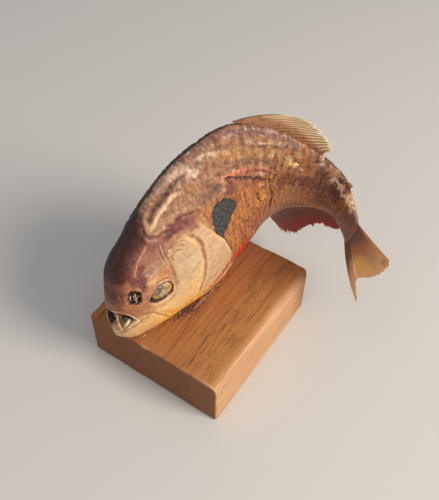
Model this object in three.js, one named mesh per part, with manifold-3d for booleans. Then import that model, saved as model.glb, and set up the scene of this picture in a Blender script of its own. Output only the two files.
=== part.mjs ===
// A dried fish, a deep-bodied toothed river fish about 150 mm long, glued by the keel of its belly
// to a small hardwood block. The body is bent sideways, so that the tail swings back past the block.
//
// Millimetres, +Z up. The origin is the centre of the block's underside. +X is the block's long
// way, from the fish's head towards its tail, and the fish's left side faces -Y.
//
// The fish is drawn in body coordinates, in units of its standard length:
//   s  along the backbone, 0 at the upper lip and 1 where the tail fin begins
//   h  from the backbone towards the back (negative towards the belly)
//   w  towards the fish's left side
// place(s, h, w) turns them into millimetres on the bent backbone.

import * as THREE from 'three';
import { mergeVertices } from 'three/addons/utils/BufferGeometryUtils.js';
import Module from 'manifold-3d';

const wasm = await Module();
wasm.setup();

// ---------------------------------------------------------------- driving dimensions

const BLOCK = { length: 68, width: 59, height: 22, corner: 1.2, tailCorner: 3.6, edge: 0.7 };
const STANDARD_LENGTH = 123.5;
const GAP = 0.32; // between neighbouring pieces
const SLIT = GAP / STANDARD_LENGTH;

// where the head is held: the point of the backbone level with the eyes, and the way it faces
const HELD_AT = 0.13;
const HELD_POINT = new THREE.Vector3(-20.4, 11.9, 39.4);
const TAILWARD = new THREE.Vector3(0.924, -0.191, 0.331);
const BACKWARD = new THREE.Vector3(-0.231, 0.412, 0.882);

// bend of the backbone per standard length: to the left, up, and twist of the back to the right
const STRAIGHT_HEAD = 0.28;
const BEND = [
  { s: 0.28, left: -0.3, up: -0.7, twist: 1.5 },
  { s: 0.42, left: 0.1, up: -0.7, twist: 1.1 },
  { s: 0.55, left: 2.5, up: -1.25, twist: 1.35 },
  { s: 0.68, left: 2.95, up: -0.95, twist: 1.9 },
  { s: 0.8, left: 6.5, up: -0.25, twist: -0.2 },
  { s: 0.92, left: 6.1, up: 0.5, twist: -0.4 },
  { s: 1.05, left: -0.7, up: 0.5, twist: 0.4 },
  { s: 1.3, left: -1.2, up: 0, twist: 0.5 },
];

// lines of the body at each s: back, belly, half width, height of the widest place, how full the
// section is above and below it (under 1 is boxy, over 1 runs out to a keel), and how far the
// keel is pushed to the right
const LINES = [
  [-0.035, -0.05, -0.06, 0.004, -0.055, 0.8, 0.8, 0],
  [-0.02, -0.012, -0.087, 0.028, -0.05, 0.75, 0.8, 0],
  [0.0, 0.03, -0.104, 0.045, -0.045, 0.7, 0.8, 0],
  [0.03, 0.073, -0.116, 0.06, -0.04, 0.6, 0.85, 0],
  [0.07, 0.12, -0.13, 0.073, -0.035, 0.52, 0.9, 0],
  [0.11, 0.145, -0.145, 0.079, -0.03, 0.5, 0.95, 0],
  [0.16, 0.163, -0.166, 0.08, -0.03, 0.56, 1.0, 0.004],
  [0.22, 0.188, -0.19, 0.084, -0.03, 0.62, 1.05, 0.011],
  [0.29, 0.216, -0.211, 0.086, -0.02, 0.7, 1.1, 0.016],
  [0.36, 0.25, -0.225, 0.083, -0.01, 0.8, 1.15, 0.014],
  [0.44, 0.277, -0.238, 0.07, 0.02, 0.88, 1.2, 0.006],
  [0.53, 0.294, -0.247, 0.06, 0.05, 0.9, 1.2, 0],
  [0.6, 0.268, -0.245, 0.053, 0.06, 0.9, 1.2, 0],
  [0.67, 0.226, -0.215, 0.046, 0.05, 0.9, 1.1, 0],
  [0.74, 0.18, -0.186, 0.04, 0.04, 0.9, 1.0, 0],
  [0.81, 0.133, -0.138, 0.034, 0.03, 0.9, 0.9, 0],
  [0.87, 0.104, -0.085, 0.029, 0.01, 0.9, 0.9, 0],
  [0.92, 0.066, -0.063, 0.024, 0.0, 0.9, 0.9, 0],
  [1.0, 0.045, -0.06, 0.012, 0.0, 0.9, 0.9, 0],
];

// places where the flesh is parted: head, three lengths of trunk, and the tail stalk
const PARTINGS = { headFront: -0.035, gills: 0.3, breast: 0.5, belly: 0.67, vent: 0.84, tailBase: 1.0 };

const EYE = { s: 0.145, h: -0.014, w: 0.055, long: 0.04, high: 0.026, deep: 0.017 };
const NOSTRIL = { s: 0.075, h: 0.026, w: 0.056, radius: 0.021, deep: 0.02 };

// ---------------------------------------------------------------- the bent backbone

const STEPS = 260;
const LAST = 1.3;
const STEP = LAST / STEPS;

function bendAt(s) {
  if (s < STRAIGHT_HEAD) return { left: 0, up: 0, twist: 0 };
  let k = 0;
  while (k < BEND.length - 2 && s > BEND[k + 1].s) k += 1;
  const a = BEND[k];
  const b = BEND[k + 1];
  const t = Math.min(1, (s - a.s) / (b.s - a.s));
  return {
    left: THREE.MathUtils.lerp(a.left, b.left, t),
    up: THREE.MathUtils.lerp(a.up, b.up, t),
    twist: THREE.MathUtils.lerp(a.twist, b.twist, t),
  };
}

function squareUp(frame) {
  frame.along.normalize();
  frame.back.addScaledVector(frame.along, -frame.back.dot(frame.along)).normalize();
  frame.left.crossVectors(frame.along, frame.back);
  return frame;
}

function backbone() {
  const frames = [];
  let frame = squareUp({
    point: new THREE.Vector3(),
    along: TAILWARD.clone(),
    back: BACKWARD.clone(),
    left: new THREE.Vector3(),
  });
  for (let i = 0; i <= STEPS; i += 1) {
    frames.push(frame);
    const bend = bendAt(i * STEP);
    const along = frame.along.clone();
    along.addScaledVector(frame.left, bend.left * STEP).addScaledVector(frame.back, bend.up * STEP);
    const back = frame.back.clone();
    back.addScaledVector(frame.along, -bend.up * STEP).addScaledVector(frame.left, bend.twist * STEP);
    const next = squareUp({ point: frame.point.clone(), along, back, left: new THREE.Vector3() });
    next.point.addScaledVector(frame.along, (STEP * STANDARD_LENGTH) / 2);
    next.point.addScaledVector(next.along, (STEP * STANDARD_LENGTH) / 2);
    frame = next;
  }
  const shift = HELD_POINT.clone().sub(frames[Math.round(HELD_AT / STEP)].point);
  for (const each of frames) each.point.add(shift);
  return frames;
}

const FRAMES = backbone();

function place(s, h, w) {
  const x = THREE.MathUtils.clamp(s / STEP, 0, STEPS - 0.001);
  const i = Math.floor(x);
  const a = FRAMES[i];
  const b = FRAMES[i + 1];
  const t = x - i;
  const point = a.point.clone().lerp(b.point, t);
  const back = a.back.clone().lerp(b.back, t);
  const left = a.left.clone().lerp(b.left, t);
  point.addScaledVector(a.along, Math.min(s, 0) * STANDARD_LENGTH);
  point.addScaledVector(back, h * STANDARD_LENGTH);
  return point.addScaledVector(left, w * STANDARD_LENGTH);
}

// ---------------------------------------------------------------- lines and sections

// one row between the given rows, on smooth curves that never swing past them
function fairRow(rows, at) {
  let i = 0;
  while (i < rows.length - 2 && at > rows[i + 1][0]) i += 1;
  const slope = (k, column) => (rows[k + 1][column] - rows[k][column]) / (rows[k + 1][0] - rows[k][0]);
  const tangent = (k, column) => {
    if (k === 0) return slope(0, column);
    if (k === rows.length - 1) return slope(k - 1, column);
    const before = slope(k - 1, column);
    const after = slope(k, column);
    return before * after <= 0 ? 0 : (before + after) / 2;
  };
  const span = rows[i + 1][0] - rows[i][0];
  const t = THREE.MathUtils.clamp((at - rows[i][0]) / span, 0, 1);
  const row = [at];
  for (let column = 1; column < rows[i].length; column += 1) {
    const rise = t * t * (3 - 2 * t);
    const out = (t * t * t - 2 * t * t + t) * span * tangent(i, column);
    const into = (t * t * t - t * t) * span * tangent(i + 1, column);
    row.push(rows[i][column] * (1 - rise) + rows[i + 1][column] * rise + out + into);
  }
  return row;
}

function backHeight(s) {
  return fairRow(LINES, s)[1];
}

function bellyHeight(s) {
  return fairRow(LINES, s)[2];
}

// a point of the skin: turn 0 is the ridge of the back, a quarter turn is the left side
function skin(s, turn) {
  const [, top, bottom, half, widest, fullAbove, fullBelow, keel] = fairRow(LINES, s);
  const up = Math.cos(turn);
  const side = Math.sin(turn);
  const height = up > 0 ? widest + (top - widest) * up : widest + (widest - bottom) * up;
  const full = up > 0 ? fullAbove : fullBelow;
  const push = keel * Math.max(0, -up) ** 2;
  return { h: height, w: half * Math.sign(side) * Math.abs(side) ** full - push };
}

// ---------------------------------------------------------------- solids

// closed geometry with shared vertices, moved point by point and turned faces out
function mapped(source, move) {
  const bare = source.clone();
  bare.deleteAttribute('normal');
  bare.deleteAttribute('uv');
  const geometry = mergeVertices(bare, 1e-5);
  const position = geometry.attributes.position;
  for (let i = 0; i < position.count; i += 1) {
    const moved = move(new THREE.Vector3().fromBufferAttribute(position, i));
    position.setXYZ(i, moved.x, moved.y, moved.z);
  }
  return facingOut(geometry);
}

function facingOut(geometry) {
  const index = geometry.index.array;
  const position = geometry.attributes.position;
  const corner = (k) => new THREE.Vector3().fromBufferAttribute(position, index[k]);
  let volume = 0;
  for (let k = 0; k < index.length; k += 3) {
    volume += corner(k).dot(corner(k + 1).cross(corner(k + 2)));
  }
  if (volume < 0) {
    for (let k = 0; k < index.length; k += 3) {
      [index[k], index[k + 1]] = [index[k + 1], index[k]];
    }
  }
  return geometry;
}

function solid(geometry) {
  const mesh = new wasm.Mesh({
    numProp: 3,
    vertProperties: new Float32Array(geometry.attributes.position.array),
    triVerts: new Uint32Array(geometry.index.array),
  });
  return new wasm.Manifold(mesh);
}

function geometryOf(body) {
  const mesh = body.getMesh();
  const geometry = new THREE.BufferGeometry();
  geometry.setAttribute('position', new THREE.BufferAttribute(new Float32Array(mesh.vertProperties), 3));
  geometry.setIndex(new THREE.BufferAttribute(new Uint32Array(mesh.triVerts), 1));
  return geometry;
}

function box(from, to) {
  const size = to.clone().sub(from);
  const cuboid = new THREE.BoxGeometry(size.x, size.y, size.z);
  const middle = from.clone().add(to).multiplyScalar(0.5);
  return solid(mapped(cuboid, (p) => p.add(middle)));
}

// the keel is filed flat where it stands on the block
const UNDER_KEEL = box(
  new THREE.Vector3(-BLOCK.length, -BLOCK.width, -BLOCK.height),
  new THREE.Vector3(BLOCK.length, BLOCK.width, BLOCK.height + GAP),
);

// a length of flesh between two partings
function flesh(from, to, rows, around) {
  const drum = new THREE.CylinderGeometry(1, 1, 1, around, rows);
  const whole = solid(mapped(drum, (p) => {
    const s = THREE.MathUtils.lerp(from, to, p.y + 0.5);
    const radius = Math.min(1, Math.hypot(p.x, p.z));
    const rim = skin(s, Math.atan2(p.x, p.z));
    const [, top, bottom] = fairRow(LINES, s);
    const middle = (top + bottom) / 2;
    return place(s, THREE.MathUtils.lerp(middle, rim.h, radius), rim.w * radius);
  }));
  return from < PARTINGS.belly ? whole.subtract(UNDER_KEEL) : whole;
}

// a prism over an outline in the side view, from w = near to w = far
function sidePrism(outline, near, far) {
  const shape = new THREE.Shape(outline.map(([s, h]) => new THREE.Vector2(s, h)));
  const prism = new THREE.ExtrudeGeometry(shape, { depth: far - near, bevelEnabled: false });
  return solid(mapped(prism, (p) => place(p.x, p.y, p.z + near)));
}

// the same outline, larger all round by about one slit
function eased(outline, slit) {
  const middle = [0, 1].map((axis) => outline.reduce((sum, point) => sum + point[axis], 0) / outline.length);
  return outline.map((point) => {
    const reach = Math.hypot(point[0] - middle[0], point[1] - middle[1]);
    const grow = 1 + (1.5 * slit) / reach;
    return [middle[0] + (point[0] - middle[0]) * grow, middle[1] + (point[1] - middle[1]) * grow];
  });
}

function ball(s, h, w, long, high, deep, around = 16) {
  const sphere = new THREE.SphereGeometry(1, around, Math.ceil(around * 0.6));
  return solid(mapped(sphere, (p) => place(s + p.x * long, h + p.y * high, w + p.z * deep)));
}

// ---------------------------------------------------------------- head

const SIDES = [{ name: 'left', sign: 1 }, { name: 'right', sign: -1 }];

const GILL_COVER = [
  [0.225, -0.137], [0.262, -0.105], [0.3, -0.06], [0.315, -0.02], [0.318, 0.05], [0.335, 0.09],
  [0.365, 0.078], [0.388, 0.03], [0.402, -0.04], [0.406, -0.1], [0.396, -0.15], [0.33, -0.172],
  [0.26, -0.163],
];
const MOUTH_CORNER = [0.038, -0.036];
const GAPE = [[-0.07, 0.034], [-0.005, 0.03], [0.014, 0.006], MOUTH_CORNER, [0.01, -0.046], [-0.07, -0.038]];
const JAW = [[-0.07, -0.036], [0.01, -0.044], MOUTH_CORNER, [0.14, -0.092], [0.16, -0.26], [-0.07, -0.26]];
const COVER_INNER = 0.042;
const REACH = 0.14; // further out than any flank

function sided(sign, near, far) {
  return sign > 0 ? [near, far] : [-far, -near];
}

function gillCover(sign, slit) {
  const [near, far] = sided(sign, COVER_INNER - slit, REACH);
  return sidePrism(slit > 0 ? eased(GILL_COVER, slit) : GILL_COVER, near, far);
}

// teeth are blades in a row, standing on the rim of a jaw and joined to it
function toothRow(body, { from, to, count, height, width, rim, up }) {
  let joined = body;
  for (let i = 0; i < count; i += 1) {
    const t = (i + 0.5) / count;
    const s = THREE.MathUtils.lerp(from, to, t);
    for (const { sign } of SIDES) {
      const { h, w } = rim(s);
      const blade = new THREE.ConeGeometry(width, height * (1 - 0.45 * t) + width, 4, 1);
      const tall = height * (1 - 0.45 * t);
      joined = joined.add(solid(mapped(blade, (p) => {
        const lift = up * (p.y + tall / 2 - width / 2);
        return place(s + p.x, h + lift, sign * w + p.z * 0.5);
      })));
    }
  }
  return joined;
}

const LOWER_RIM = (s) => ({ h: -0.039 - 0.1 * Math.max(0, s), w: 0.014 + 0.7 * (s + 0.02) });
const UPPER_RIM = (s) => ({ h: 0.028 - 1.35 * Math.max(0, s - 0.001), w: 0.018 + 0.62 * s });

function lowerJaw() {
  const jaw = flesh(PARTINGS.headFront, 0.2, 14, 28).intersect(sidePrism(JAW, -REACH, REACH));
  return toothRow(jaw, {
    from: -0.019, to: 0.022, count: 5, height: 0.03, width: 0.0056, rim: LOWER_RIM, up: 1,
  });
}

function skull() {
  let body = flesh(PARTINGS.headFront, PARTINGS.gills, 21, 28);
  body = body.subtract(sidePrism(GAPE, -REACH, REACH));
  body = body.subtract(sidePrism(eased(JAW, SLIT), -REACH, REACH));
  for (const { sign } of SIDES) {
    body = body.subtract(gillCover(sign, SLIT));
    const socketDepth = 2 * EYE.deep;
    body = body.subtract(
      ball(EYE.s, EYE.h, sign * EYE.w, EYE.long + SLIT, EYE.high + SLIT, socketDepth, 16),
    );
    body = body.subtract(
      ball(NOSTRIL.s, NOSTRIL.h, sign * NOSTRIL.w, NOSTRIL.radius, NOSTRIL.radius, NOSTRIL.deep, 12),
    );
  }
  return toothRow(body, {
    from: 0.004, to: 0.03, count: 4, height: 0.016, width: 0.0045, rim: UPPER_RIM, up: -1,
  });
}

function gillCoverPiece(sign) {
  return flesh(0.2, 0.43, 12, 32).intersect(gillCover(sign, 0));
}

function eye(sign) {
  return ball(EYE.s, EYE.h, sign * EYE.w, EYE.long, EYE.high, EYE.deep, 18);
}

// ---------------------------------------------------------------- trunk

function trunkFront() {
  let body = flesh(PARTINGS.gills + SLIT, PARTINGS.breast, 10, 32);
  for (const { sign } of SIDES) body = body.subtract(gillCover(sign, SLIT));
  return body;
}

// ---------------------------------------------------------------- fins

const FIN_HALF = 0.35 / STANDARD_LENGTH;

// a fin is a plate from its root line to its edge line, given as rows [u, root s, h, edge s, h, w]
function fin(rows, across = 10, outward = 3) {
  const plate = new THREE.BoxGeometry(1, 1, 1, across, outward, 1);
  return solid(mapped(plate, (p) => {
    const [, rootS, rootH, rootW, edgeS, edgeH, edgeW] = fairRow(rows, p.x + 0.5);
    const v = p.y + 0.5;
    const s = THREE.MathUtils.lerp(rootS, edgeS, v);
    const h = THREE.MathUtils.lerp(rootH, edgeH, v);
    const w = THREE.MathUtils.lerp(rootW, edgeW, v);
    return place(s, h, w + p.z * 2 * FIN_HALF);
  }));
}

// root line on the back (side 1) or belly (side -1), clear of the flesh
function rootHeight(s, side) {
  return side > 0 ? backHeight(s) + 1.2 * SLIT : bellyHeight(s) - 1.2 * SLIT;
}

function medianFin(from, to, side, edge) {
  return fin(edge.map(([u, edgeS, edgeH, edgeW]) => {
    const s = THREE.MathUtils.lerp(from, to, u);
    return [u, s, rootHeight(s, side), 0, edgeS, edgeH, edgeW];
  }));
}

// folded down along the back, its rays leaning towards the tail
const DORSAL_EDGE = [
  [0, 0.572, 0.306, 0], [0.2, 0.64, 0.305, -0.003], [0.4, 0.686, 0.299, -0.005],
  [0.6, 0.721, 0.276, -0.006], [0.8, 0.755, 0.24, -0.004], [1, 0.782, 0.203, 0],
];
const ADIPOSE_EDGE = [[0, 0.884, 0.114, 0], [1, 0.897, 0.112, 0]];
// longest in front, ragged behind
const ANAL_EDGE = [
  [0, 0.706, -0.246, 0], [0.15, 0.795, -0.34, 0.004], [0.35, 0.847, -0.31, 0.008],
  [0.5, 0.86, -0.24, 0.006], [0.7, 0.904, -0.14, 0.004], [0.85, 0.93, -0.118, 0.002],
  [1, 0.953, -0.078, 0],
];
// u runs across the fin, from its lowest ray to its highest
const TAIL_ROOT = { s: 1.0 + 1.2 * SLIT, low: -0.063, high: 0.044 };
const TAIL_SPLIT = 0.34;
const TAIL_EDGE = [
  [0, 1.196, -0.116, 0], [0.1, 1.18, -0.104, 0], [0.24, 1.13, -0.08, 0], [0.34, 1.131, -0.052, 0],
  [0.55, 1.175, 0.022, 0], [0.78, 1.192, 0.098, 0], [1, 1.206, 0.169, 0],
];

function tailLobe(from, to) {
  const stops = [from, ...TAIL_EDGE.map((row) => row[0]).filter((u) => u > from && u < to), to];
  return fin(stops.map((u) => {
    const [, edgeS, edgeH, edgeW] = fairRow(TAIL_EDGE, u);
    const rootH = THREE.MathUtils.lerp(TAIL_ROOT.low, TAIL_ROOT.high, u);
    return [(u - from) / (to - from), TAIL_ROOT.s, rootH, 0, edgeS, edgeH, edgeW];
  }), 8, 6);
}

// the right pectoral fin lies flat on the flank behind its gill cover
function pectoralFin() {
  return fin([
    [0, 0.415, -0.12, -0.075, 0.5, -0.15, -0.066],
    [0.5, 0.415, -0.105, -0.078, 0.545, -0.13, -0.069],
    [1, 0.415, -0.09, -0.08, 0.535, -0.1, -0.072],
  ], 6, 4);
}

// ---------------------------------------------------------------- block and glue

function block() {
  const { length, width, height, corner, tailCorner, edge } = BLOCK;
  const x = length / 2 - edge;
  const y = width / 2 - edge;
  const c = corner - edge;
  const t = tailCorner - edge;
  const outline = new THREE.Shape();
  outline.moveTo(-x + c, -y);
  outline.lineTo(x - t, -y);
  outline.absarc(x - t, -y + t, t, -Math.PI / 2, 0);
  outline.lineTo(x, y - c);
  outline.absarc(x - c, y - c, c, 0, Math.PI / 2);
  outline.lineTo(-x + c, y);
  outline.absarc(-x + c, y - c, c, Math.PI / 2, Math.PI);
  outline.lineTo(-x, -y + c);
  outline.absarc(-x + c, -y + c, c, Math.PI, 1.5 * Math.PI);
  const board = new THREE.ExtrudeGeometry(outline, {
    depth: height - 2 * edge,
    bevelThickness: edge,
    bevelSize: edge,
    bevelSegments: 3,
    curveSegments: 6,
  });
  board.translate(0, 0, edge);
  return solid(mapped(board, (p) => p));
}

// a low bead of glue along each side of the keel, clear of it by the gap
const BEAD = { x: 3, long: 13, half: 2.3, tall: 1.2, outward: 3.1 };
const CLEAR_OF_KEEL = [[0, 1, 0], [0, -1, 0], [0, 0, 1], [0, 0, -1], [0, 0.7, -0.7], [0, -0.7, -0.7]];

function glue(sign) {
  const sphere = new THREE.SphereGeometry(1, 24, 8);
  let bead = solid(mapped(sphere, (p) => new THREE.Vector3(
    BEAD.x + p.x * BEAD.long,
    keelLine(BEAD.x + p.x * BEAD.long) - sign * BEAD.outward + p.y * BEAD.half,
    BLOCK.height + GAP + BEAD.tall * Math.max(0, p.z),
  )));
  const keel = flesh(0.1, PARTINGS.breast, 14, 32);
  for (const [x, y, z] of CLEAR_OF_KEEL) {
    const move = new THREE.Vector3(x, y, z).multiplyScalar(1.1 * GAP);
    bead = bead.subtract(keel.translate(move.x, move.y, move.z));
  }
  return bead;
}

// how far across the block the keel runs at each x
function keelLine(x) {
  return 0.6 - 0.06 * (x - BEAD.x);
}

// ---------------------------------------------------------------- the object

const group = new THREE.Group();

function add(name, body, color, roughness = 0.6) {
  const material = new THREE.MeshStandardMaterial({ color, roughness, metalness: 0 });
  const mesh = new THREE.Mesh(geometryOf(body), material);
  mesh.name = name;
  group.add(mesh);
}

add('block', block(), 0xa0673a, 0.65);
add('head', skull(), 0x6e4a38, 0.5);
add('lower_jaw', lowerJaw(), 0xd6a35e, 0.5);
for (const { name, sign } of SIDES) {
  add(`glue_${name}`, glue(sign), 0xa88a5c, 0.4);
  add(`gill_cover_${name}`, gillCoverPiece(sign), 0xdcb97e, 0.5);
  add(`eye_${name}`, eye(sign), 0x8a7a3c, 0.35);
}
add('trunk_front', trunkFront(), 0xa0764f, 0.55);
add('trunk_middle', flesh(PARTINGS.breast + SLIT, PARTINGS.belly, 8, 32), 0xa0764f, 0.55);
add('trunk_rear', flesh(PARTINGS.belly + SLIT, PARTINGS.vent, 9, 28), 0x8f6844, 0.55);
add('tail_stalk', flesh(PARTINGS.vent + SLIT, PARTINGS.tailBase, 9, 24), 0x7d5a3e, 0.55);
add('dorsal_fin', medianFin(0.545, 0.765, 1, DORSAL_EDGE), 0xdcc096, 0.6);
add('adipose_fin', medianFin(0.868, 0.89, 1, ADIPOSE_EDGE), 0xc9a97e, 0.6);
add('anal_fin', medianFin(0.685, 0.945, -1, ANAL_EDGE), 0x8c3a30, 0.6);
add('tail_fin_upper', tailLobe(TAIL_SPLIT + 0.004, 1), 0xa87a46, 0.5);
add('tail_fin_lower', tailLobe(0, TAIL_SPLIT - 0.004), 0x7d5a3e, 0.5);
add('pectoral_fin_right', pectoralFin(), 0xc08a58, 0.6);

export default group;
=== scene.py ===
"""A dried, varnished fish glued to a small block of wood, as it is put together on the bench."""

import math

import bmesh
import bpy
import numpy as np
from mathutils import Matrix, Vector, noise


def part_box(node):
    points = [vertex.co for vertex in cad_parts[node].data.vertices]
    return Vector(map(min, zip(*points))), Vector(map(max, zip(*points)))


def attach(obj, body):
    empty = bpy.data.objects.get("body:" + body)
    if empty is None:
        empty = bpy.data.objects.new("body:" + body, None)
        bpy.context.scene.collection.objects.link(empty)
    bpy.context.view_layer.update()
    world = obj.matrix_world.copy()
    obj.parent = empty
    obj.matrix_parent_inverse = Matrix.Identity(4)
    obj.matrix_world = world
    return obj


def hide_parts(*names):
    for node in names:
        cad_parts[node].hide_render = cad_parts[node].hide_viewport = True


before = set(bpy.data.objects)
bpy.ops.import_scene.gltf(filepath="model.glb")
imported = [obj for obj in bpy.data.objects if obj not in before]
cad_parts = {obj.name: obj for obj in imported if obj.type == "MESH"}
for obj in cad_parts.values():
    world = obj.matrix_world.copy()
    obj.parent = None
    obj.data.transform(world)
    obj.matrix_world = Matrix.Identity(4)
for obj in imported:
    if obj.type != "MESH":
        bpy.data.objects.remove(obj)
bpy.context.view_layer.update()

MM = 0.001

# ------------------------------------------------------------------ the table and the light
# A wide pale table top with a matt lacquer. Daylight comes in from the right of the camera, low and
# soft, and the room fills the shadows from all round.

TABLE_COLOUR = (0.60, 0.565, 0.52, 1)
TABLE_SIZE = 3.0
CAMERA_PLACE = Vector((-0.13655, -0.09554, 0.23584))
CAMERA_AHEAD = Vector((0.5557, 0.3592, -0.7498))
CAMERA_RIGHT = Vector((0.543, -0.840, 0.0))
CAMERA_ROLL = math.radians(1.35)
CAMERA_LENS = 49.12

mesh = bpy.data.meshes.new("table_top")
bm = bmesh.new()
bmesh.ops.create_grid(bm, x_segments=8, y_segments=8, size=TABLE_SIZE / 2)
bm.to_mesh(mesh)
bm.free()
table = bpy.data.objects.new("table_top", mesh)
bpy.context.collection.objects.link(table)
lacquer = bpy.data.materials.new("table_lacquer")
lacquer.use_nodes = True
lacquer.node_tree.nodes["Principled BSDF"].inputs["Base Color"].default_value = TABLE_COLOUR
lacquer.node_tree.nodes["Principled BSDF"].inputs["Roughness"].default_value = 0.55
mesh.materials.append(lacquer)

camera = bpy.data.objects.new("camera", bpy.data.cameras.new("camera"))
bpy.context.collection.objects.link(camera)
ahead = CAMERA_AHEAD.normalized()
level = (CAMERA_RIGHT - ahead * CAMERA_RIGHT.dot(ahead)).normalized()
overhead = level.cross(ahead)
right = level * math.cos(CAMERA_ROLL) + overhead * math.sin(CAMERA_ROLL)
up = right.cross(ahead)
turn = Matrix((right, up, -ahead)).transposed()
camera.matrix_world = Matrix.Translation(CAMERA_PLACE) @ turn.to_4x4()
camera.data.lens = CAMERA_LENS
camera.data.sensor_width = 36
camera.data.clip_start = 0.005
bpy.context.scene.camera = camera


def window(name, place, size, watts, colour, target=(0, 0, 0.03)):
    """A soft square light at a place, facing the fish."""
    light = bpy.data.lights.new(name, "AREA")
    light.shape = "RECTANGLE"
    light.size, light.size_y = size
    light.energy = watts
    light.color = colour
    lamp = bpy.data.objects.new(name, light)
    bpy.context.collection.objects.link(lamp)
    lamp.location = place
    lamp.rotation_euler = (Vector(target) - Vector(place)).to_track_quat("-Z", "Y").to_euler()


window("window", (0.10, -0.78, 0.62), (0.38, 0.38), 9.4, (1.0, 0.93, 0.84))
window("ceiling", (-0.25, -0.1, 1.1), (1.2, 1.2), 3.6, (0.95, 0.97, 1.0))
room = bpy.data.worlds.new("room")
room.use_nodes = True
room.node_tree.nodes["Background"].inputs["Color"].default_value = (0.80, 0.84, 0.92, 1)
room.node_tree.nodes["Background"].inputs["Strength"].default_value = 0.36
bpy.context.scene.world = room
bpy.context.scene.view_settings.view_transform = "Standard"

# ------------------------------------------------------------------ the wooden block
# An offcut of close-grained hardwood, sawn square and finished by sanding. Its edges are eased by
# hand and one corner is rounded off. Painted shade darkens the far end of the top, under the tail,
# and the end face at the head, and painted light makes the near long side paler.

BLOCK_LOW, BLOCK_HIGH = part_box("block")
BLOCK_TOP = BLOCK_HIGH.z
WOOD_PALE = (0.43, 0.172, 0.050)
WOOD_MID = (0.33, 0.112, 0.027)
WOOD_DARK = (0.19, 0.062, 0.024)
WOOD_PORE = (0.07, 0.024, 0.014)
WOOD_GOLD = (0.47, 0.205, 0.05)
WOOD_FIGURE = (0.15, 0.07, 0.024)
WOOD_SHADED = (0.165, 0.062, 0.042)
WOOD_FLECK = (0.44, 0.19, 0.09)
WOOD_LIT_SIDE = (0.50, 0.25, 0.105)
WOOD_LIT_SIDE_PALE = (0.66, 0.375, 0.20)
WOOD_RUBBED = (0.70, 0.42, 0.24)
WOOD_CRACK = (0.055, 0.02, 0.01)
WOOD_GRIME = (0.115, 0.045, 0.022)
DUST_DARK = (0.66, 0.56, 0.48)
DUST_PALE = (1.30, 1.28, 1.25)
SHOULDER = 3.4 * MM
# drying cracks on the top: from x to x, where y starts, how it leans, and half its width, all in
# millimetres
CRACKS = (
    (-29.8, -15.6, -5.9, 0.11, 0.12), (-33.8, -15.3, -15.8, 0.14, 0.15), (-31, -27, -19, 0.13, 0.13),
    (-16.8, -6.6, -16.9, 0.06, 0.1), (-4.6, 1.2, -17.2, -0.12, 0.09), (2.2, 5.5, -20, -0.15, 0.2),
    (-9.2, -5.8, -22.2, 0.1, 0.1), (-30.9, -25, -28.2, 0.03, 0.08), (13.4, 16.9, -23.3, -0.1, 0.09),
    (11.3, 13.7, -20.3, -0.1, 0.08), (12, 27, 9, 0.05, 0.1), (-30, -14, 21, -0.06, 0.12),
)


class Wire:
    """A socket of a material that can be calculated with: each sum adds its own Math node."""

    def __init__(self, tree, socket):
        self.tree = tree
        self.socket = socket

    def node(self, kind, settings=None, sockets=None, output=0):
        """Adds a node: its settings first, then the values or wires of its sockets."""
        new = self.tree.nodes.new("ShaderNode" + kind)
        for name, value in (settings or {}).items():
            if name == "stops":
                self.set_stops(new.color_ramp.elements, value)
            else:
                setattr(new, name, value)
        for name, value in (sockets or {}).items():
            if isinstance(value, Wire):
                self.tree.links.new(value.socket, new.inputs[name])
            elif value is not None:
                new.inputs[name].default_value = value
        return Wire(self.tree, new.outputs[output])

    def set_stops(self, elements, stops):
        while len(elements) < len(stops):
            elements.new(0.5)
        for element, (place, colour) in zip(elements, stops):
            element.position = place
            element.color = (*colour, 1) if len(colour) == 3 else colour

    def sum(self, operation, *values):
        return self.node("Math", {"operation": operation}, dict(enumerate(values)))

    def __add__(self, other):
        return self.sum("ADD", self, other)

    def __radd__(self, other):
        return self.sum("ADD", other, self)

    def __sub__(self, other):
        return self.sum("SUBTRACT", self, other)

    def __rsub__(self, other):
        return self.sum("SUBTRACT", other, self)

    def __mul__(self, other):
        return self.sum("MULTIPLY", self, other)

    def __rmul__(self, other):
        return self.sum("MULTIPLY", other, self)

    def __truediv__(self, other):
        return self.sum("DIVIDE", self, other)

    def __pow__(self, other):
        return self.sum("POWER", self, other)

    def rise(self, low, high):
        """0 below low, 1 above high, and an even slope between: low may be the larger."""
        values = {"Value": self, "From Min": low, "From Max": high}
        return self.node("MapRange", {"interpolation_type": "SMOOTHSTEP"}, values)

    def mix(self, under, over, blend="MIX"):
        """Colour under, with colour over laid on it as far as this mask says."""
        settings = {"data_type": "RGBA", "blend_type": blend}
        pair = [c if isinstance(c, Wire) else (*c, 1) for c in (under, over)]
        return self.node("Mix", settings, {0: self, 6: pair[0], 7: pair[1]}, output=2)

    def over(self, *layers):
        """This colour, with each layer's colour laid over it in turn as far as its mask says."""
        colour = self
        for mask, shade, *blend in layers:
            colour = mask.mix(colour, shade, *blend)
        return colour

    def stretched(self, scale, turn=(0, 0, 0)):
        return self.node("Mapping", None, {"Vector": self, "Scale": scale, "Rotation": turn})

    def cloud(self, scale, detail=3.0, rough=0.55, warp=0.0):
        """Even noise from 0 to 1 at this place."""
        values = {"Vector": self, "Scale": scale, "Detail": detail, "Roughness": rough}
        return self.node("TexNoise", None, {**values, "Distortion": warp})

    def cells(self, scale, feature="F1", rough=1.0):
        values = {"Vector": self, "Scale": scale, "Randomness": rough}
        return self.node("TexVoronoi", {"feature": feature}, values)


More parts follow.
